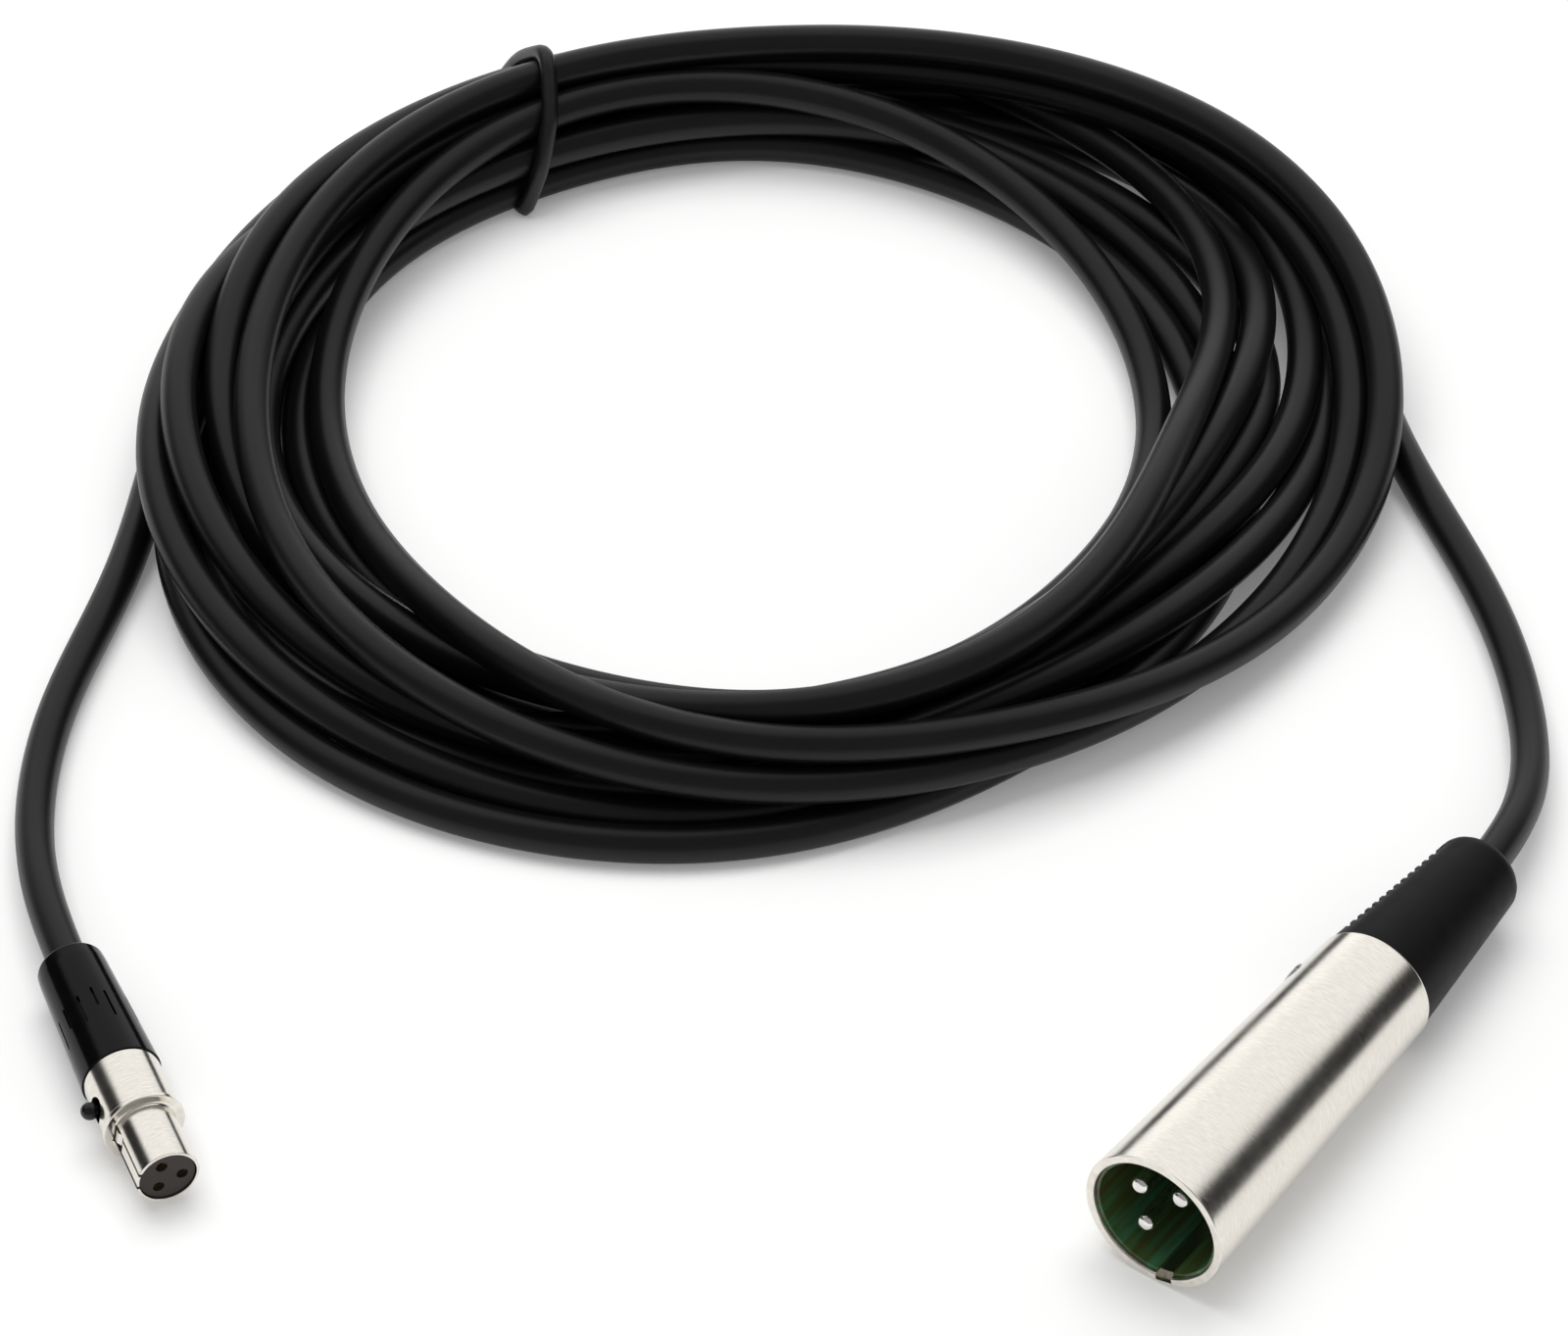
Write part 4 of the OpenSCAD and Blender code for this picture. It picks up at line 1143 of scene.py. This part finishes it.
def xlr_boot():
    """The rubber boot: finely ribbed over one side, smooth over the rest, rounded at its end.

    The ribs run aslant over the part that shows at the boot's outline, and square to it over the rest.
    """
    places = [XLR_SHELL_LENGTH + SIDE_STEP * k for k in range(1, SIDE_STEPS + 1)]
    side = [(x, boot_side(x)) for x in places]
    last = places[-1]
    end = []
    for a in [radians(d) for d in (15, 30, 45, 58, 70, 80, 90)]:
        drop = XLR_BOOT_END_ROUND * (1 - cos(a))
        end.append((last + (XLR_BOOT_END - last) * sin(a), boot_side(last) - drop))
    spigot = [(46.8, XLR_BOOT_BORE), (46.8, 6.7), (46.95, 6.85), (XLR_SHELL_LENGTH, 6.85)]
    lip = [(XLR_SHELL_LENGTH, 7.6), (49.05, 7.74)]
    bore = [(XLR_BOOT_END, 2.75), (74.85, XLR_BOOT_BORE)]
    bm = turned(spigot + lip + side + end + bore, 160)
    for v in bm.verts:
        x = v.co.x
        r = np.hypot(v.co.y, v.co.z)
        if r > 4.6 and RIBS_FROM < x < RIBS_TO:
            deep = groove_depth(x, np.degrees(np.arctan2(v.co.y, v.co.z)), r)
            v.co.y *= (r - deep) / r
            v.co.z *= (r - deep) / r
    finished("male_boot", bm, XLR, "boot_rubber", ["xlr_boot"])


# ---- The miniature XLR plug ----

LATCH_ANGLE = 79
BUTTON_PLACE = 12.8
BUTTON_RADIUS = 1.12
BUTTON_HEIGHT = 5.6
BUTTON_NECK = 4.7
BUTTON_FOOT = 2.8
BUTTON_STEM = 0.6
CONTACT_CIRCLE = 1.85
CONTACT_ANGLES = (19, 139, -101)
NOSE_RADIUS = 3.93
NOSE_BORE = 3.55
FLANGE_RADIUS = 5.1
FLANGE_REAR = 9.5
BARREL_RADIUS = 4.85
BARREL_REAR = 17.4
NECK_REAR = 22
# The keyway's tongue has a thin gap on each side and lies a little under the nose's surface
KEYWAY_LENGTH = 7.5
KEYWAY_MIDDLE = 3.2
TONGUE_WIDTH = 2.4
TONGUE_GAP = 0.42
TONGUE_EDGE = 0.99
MINI_BOOT_END = 38
MINI_BOOT_BORE = 2.58
MINI_SIDE_STEP = 0.6
MINI_SIDE_STEPS = 31
SLIT_WIDTH = 0.32
# The angle, place and length of each slit in the boot
SLITS = [
    (22, 26.2, 4.6),
    (52, 26.6, 3.4),
    (74, 25.6, 4.8),
    (118, 25.4, 5.0),
    (160, 26.2, 4.4),
    (205, 26, 4.6),
    (250, 26.2, 4.4),
    (296, 26, 4.6),
    (340, 25.8, 4.6),
    (-2, 27.4, 3.2),
]


def mini_shell():
    """Slotted nose, flange, barrel and thin neck, with the window for the hook and the button's hole."""
    at_latch = toward(LATCH_ANGLE)
    nose = [(0, 3.59), (0, 3.84), (0.1, NOSE_RADIUS), (8.25, NOSE_RADIUS), (8.48, 3.98), (8.63, 4.12)]
    flange = [(8.7, 4.36), (8.7, 4.96), (8.78, 5.08), (8.86, FLANGE_RADIUS), (9.34, FLANGE_RADIUS)]
    flange += [(9.42, 5.08), (FLANGE_REAR, 5.0), (FLANGE_REAR, BARREL_RADIUS)]
    barrel = [(17.35, BARREL_RADIUS), (BARREL_REAR, 4.8), (BARREL_REAR, 4.65), (NECK_REAR, 4.65)]
    inside = [(NECK_REAR, 4.35), (FLANGE_REAR, 4.35), (FLANGE_REAR, NOSE_BORE), (0.05, NOSE_BORE)]
    window = block((2.7, 2.7, 4), (7.35, 0, 4.5), at_latch)
    gap = (KEYWAY_LENGTH, TONGUE_GAP, 4)
    left_gap = block(gap, (KEYWAY_MIDDLE, -TONGUE_EDGE, 4.5), at_latch)
    right_gap = block(gap, (KEYWAY_MIDDLE, TONGUE_EDGE, 4.5), at_latch)
    lowered = block((KEYWAY_LENGTH, TONGUE_WIDTH, 4), (KEYWAY_MIDDLE, 0, 5.74), at_latch)
    button_hole = round_bar(1.6, 2.5, 7, at_latch @ Matrix.Translation((BUTTON_PLACE, 0, 0)), True, 40)
    finished(
        "female_shell",
        turned(nose + flange + barrel + inside),
        MINI,
        "mini_nickel",
        ["mini_shell"],
        cuts=[window, left_gap, right_gap, lowered, button_hole],
    )


def at_contact(angle):
    return toward(angle) @ Matrix.Translation((0, 0, CONTACT_CIRCLE))


def mini_contact_face():
    """The black face with its three holes, the wider bores behind them and the lever's groove."""
    profile = [(0.25, 0), (0.25, 3.4), (0.35, 3.5), (FLANGE_REAR, 3.5), (FLANGE_REAR, 0)]
    holes = [round_bar(0.72, -1, 1.5, at_contact(angle)) for angle in CONTACT_ANGLES]
    bores = [round_bar(0.85, 1.0, 12, at_contact(angle)) for angle in CONTACT_ANGLES]
    groove = block((14.35, 2.0, 4.0), (13.825, 0, 3.85), toward(LATCH_ANGLE))
    finished(
        "female_contact_face",
        turned(profile),
        MINI,
        "block_black",
        ["mini_contact_face"],
        cuts=holes + bores + [groove],
        eased_by=0.05,
    )


def mini_boot():
    """The glossy boot, tapered, rounded at its end and slit all round its middle."""
    front = [(BARREL_REAR, 4.7), (BARREL_REAR, 4.95), (17.5, 5.05)]
    side = []
    for k in range(1, MINI_SIDE_STEPS + 1):
        along = MINI_SIDE_STEP * k
        side.append((17.5 + along, 5.05 - 0.75 * along / 20.5))
    end = rounded_end(MINI_BOOT_END, 4.34, 1.2)[1:]
    bore = [(MINI_BOOT_END, 2.7), (37.9, MINI_BOOT_BORE), (29.5, MINI_BOOT_BORE)]
    bore += [(29.5, 3.83), (22.2, 3.83), (22.2, 4.7)]
    slits = [block((long, SLIT_WIDTH, 2.0), (x, 0, 5.08), toward(angle)) for angle, x, long in SLITS]
    boot = turned(front + side + end + bore)
    finished("female_boot", boot, MINI, "boot_gloss", ["mini_boot"], cuts=slits)


def mini_release_button():
    """A ball on a short stem, whose foot reaches into the lever."""
    ball = bmesh.new()
    bmesh.ops.create_uvsphere(ball, u_segments=40, v_segments=28, radius=BUTTON_RADIUS)
    bmesh.ops.translate(ball, vec=(0, 0, BUTTON_HEIGHT), verts=ball.verts)
    low_side = [v for v in ball.verts if v.co.z < 4.9]
    bmesh.ops.delete(ball, geom=low_side, context="VERTS")
    rim = [e for e in ball.edges if e.is_boundary]
    for height in (BUTTON_NECK, BUTTON_FOOT):
        grown = bmesh.ops.extrude_edge_only(ball, edges=rim)["geom"]
        rim = [e for e in grown if isinstance(e, bmesh.types.BMEdge)]
        for v in {v for e in rim for v in e.verts}:
            out = np.hypot(v.co.x, v.co.y)
            v.co = (v.co.x * BUTTON_STEM / out, v.co.y * BUTTON_STEM / out, height)
    bmesh.ops.holes_fill(ball, edges=rim, sides=0)
    bmesh.ops.recalc_face_normals(ball, faces=ball.faces)
    finished(
        "female_release_button",
        ball,
        MINI,
        "button_black",
        ["mini_release_button"],
        spot=toward(LATCH_ANGLE) @ Matrix.Translation((BUTTON_PLACE, 0, 0)),
        body="latch",
        eased_by=0.04,
    )


xlr_shell()
xlr_contact_block()
for number, angle in enumerate(PIN_ANGLES, 1):
    xlr_pin(number, angle)
xlr_retaining_screw()
xlr_boot()
mini_shell()
mini_contact_face()
mini_boot()
mini_release_button()

# ---- The pieces that keep their CAD shape ----

for name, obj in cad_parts.items():
    if not obj.hide_render:
        dress(obj, SLOT_OF[name])
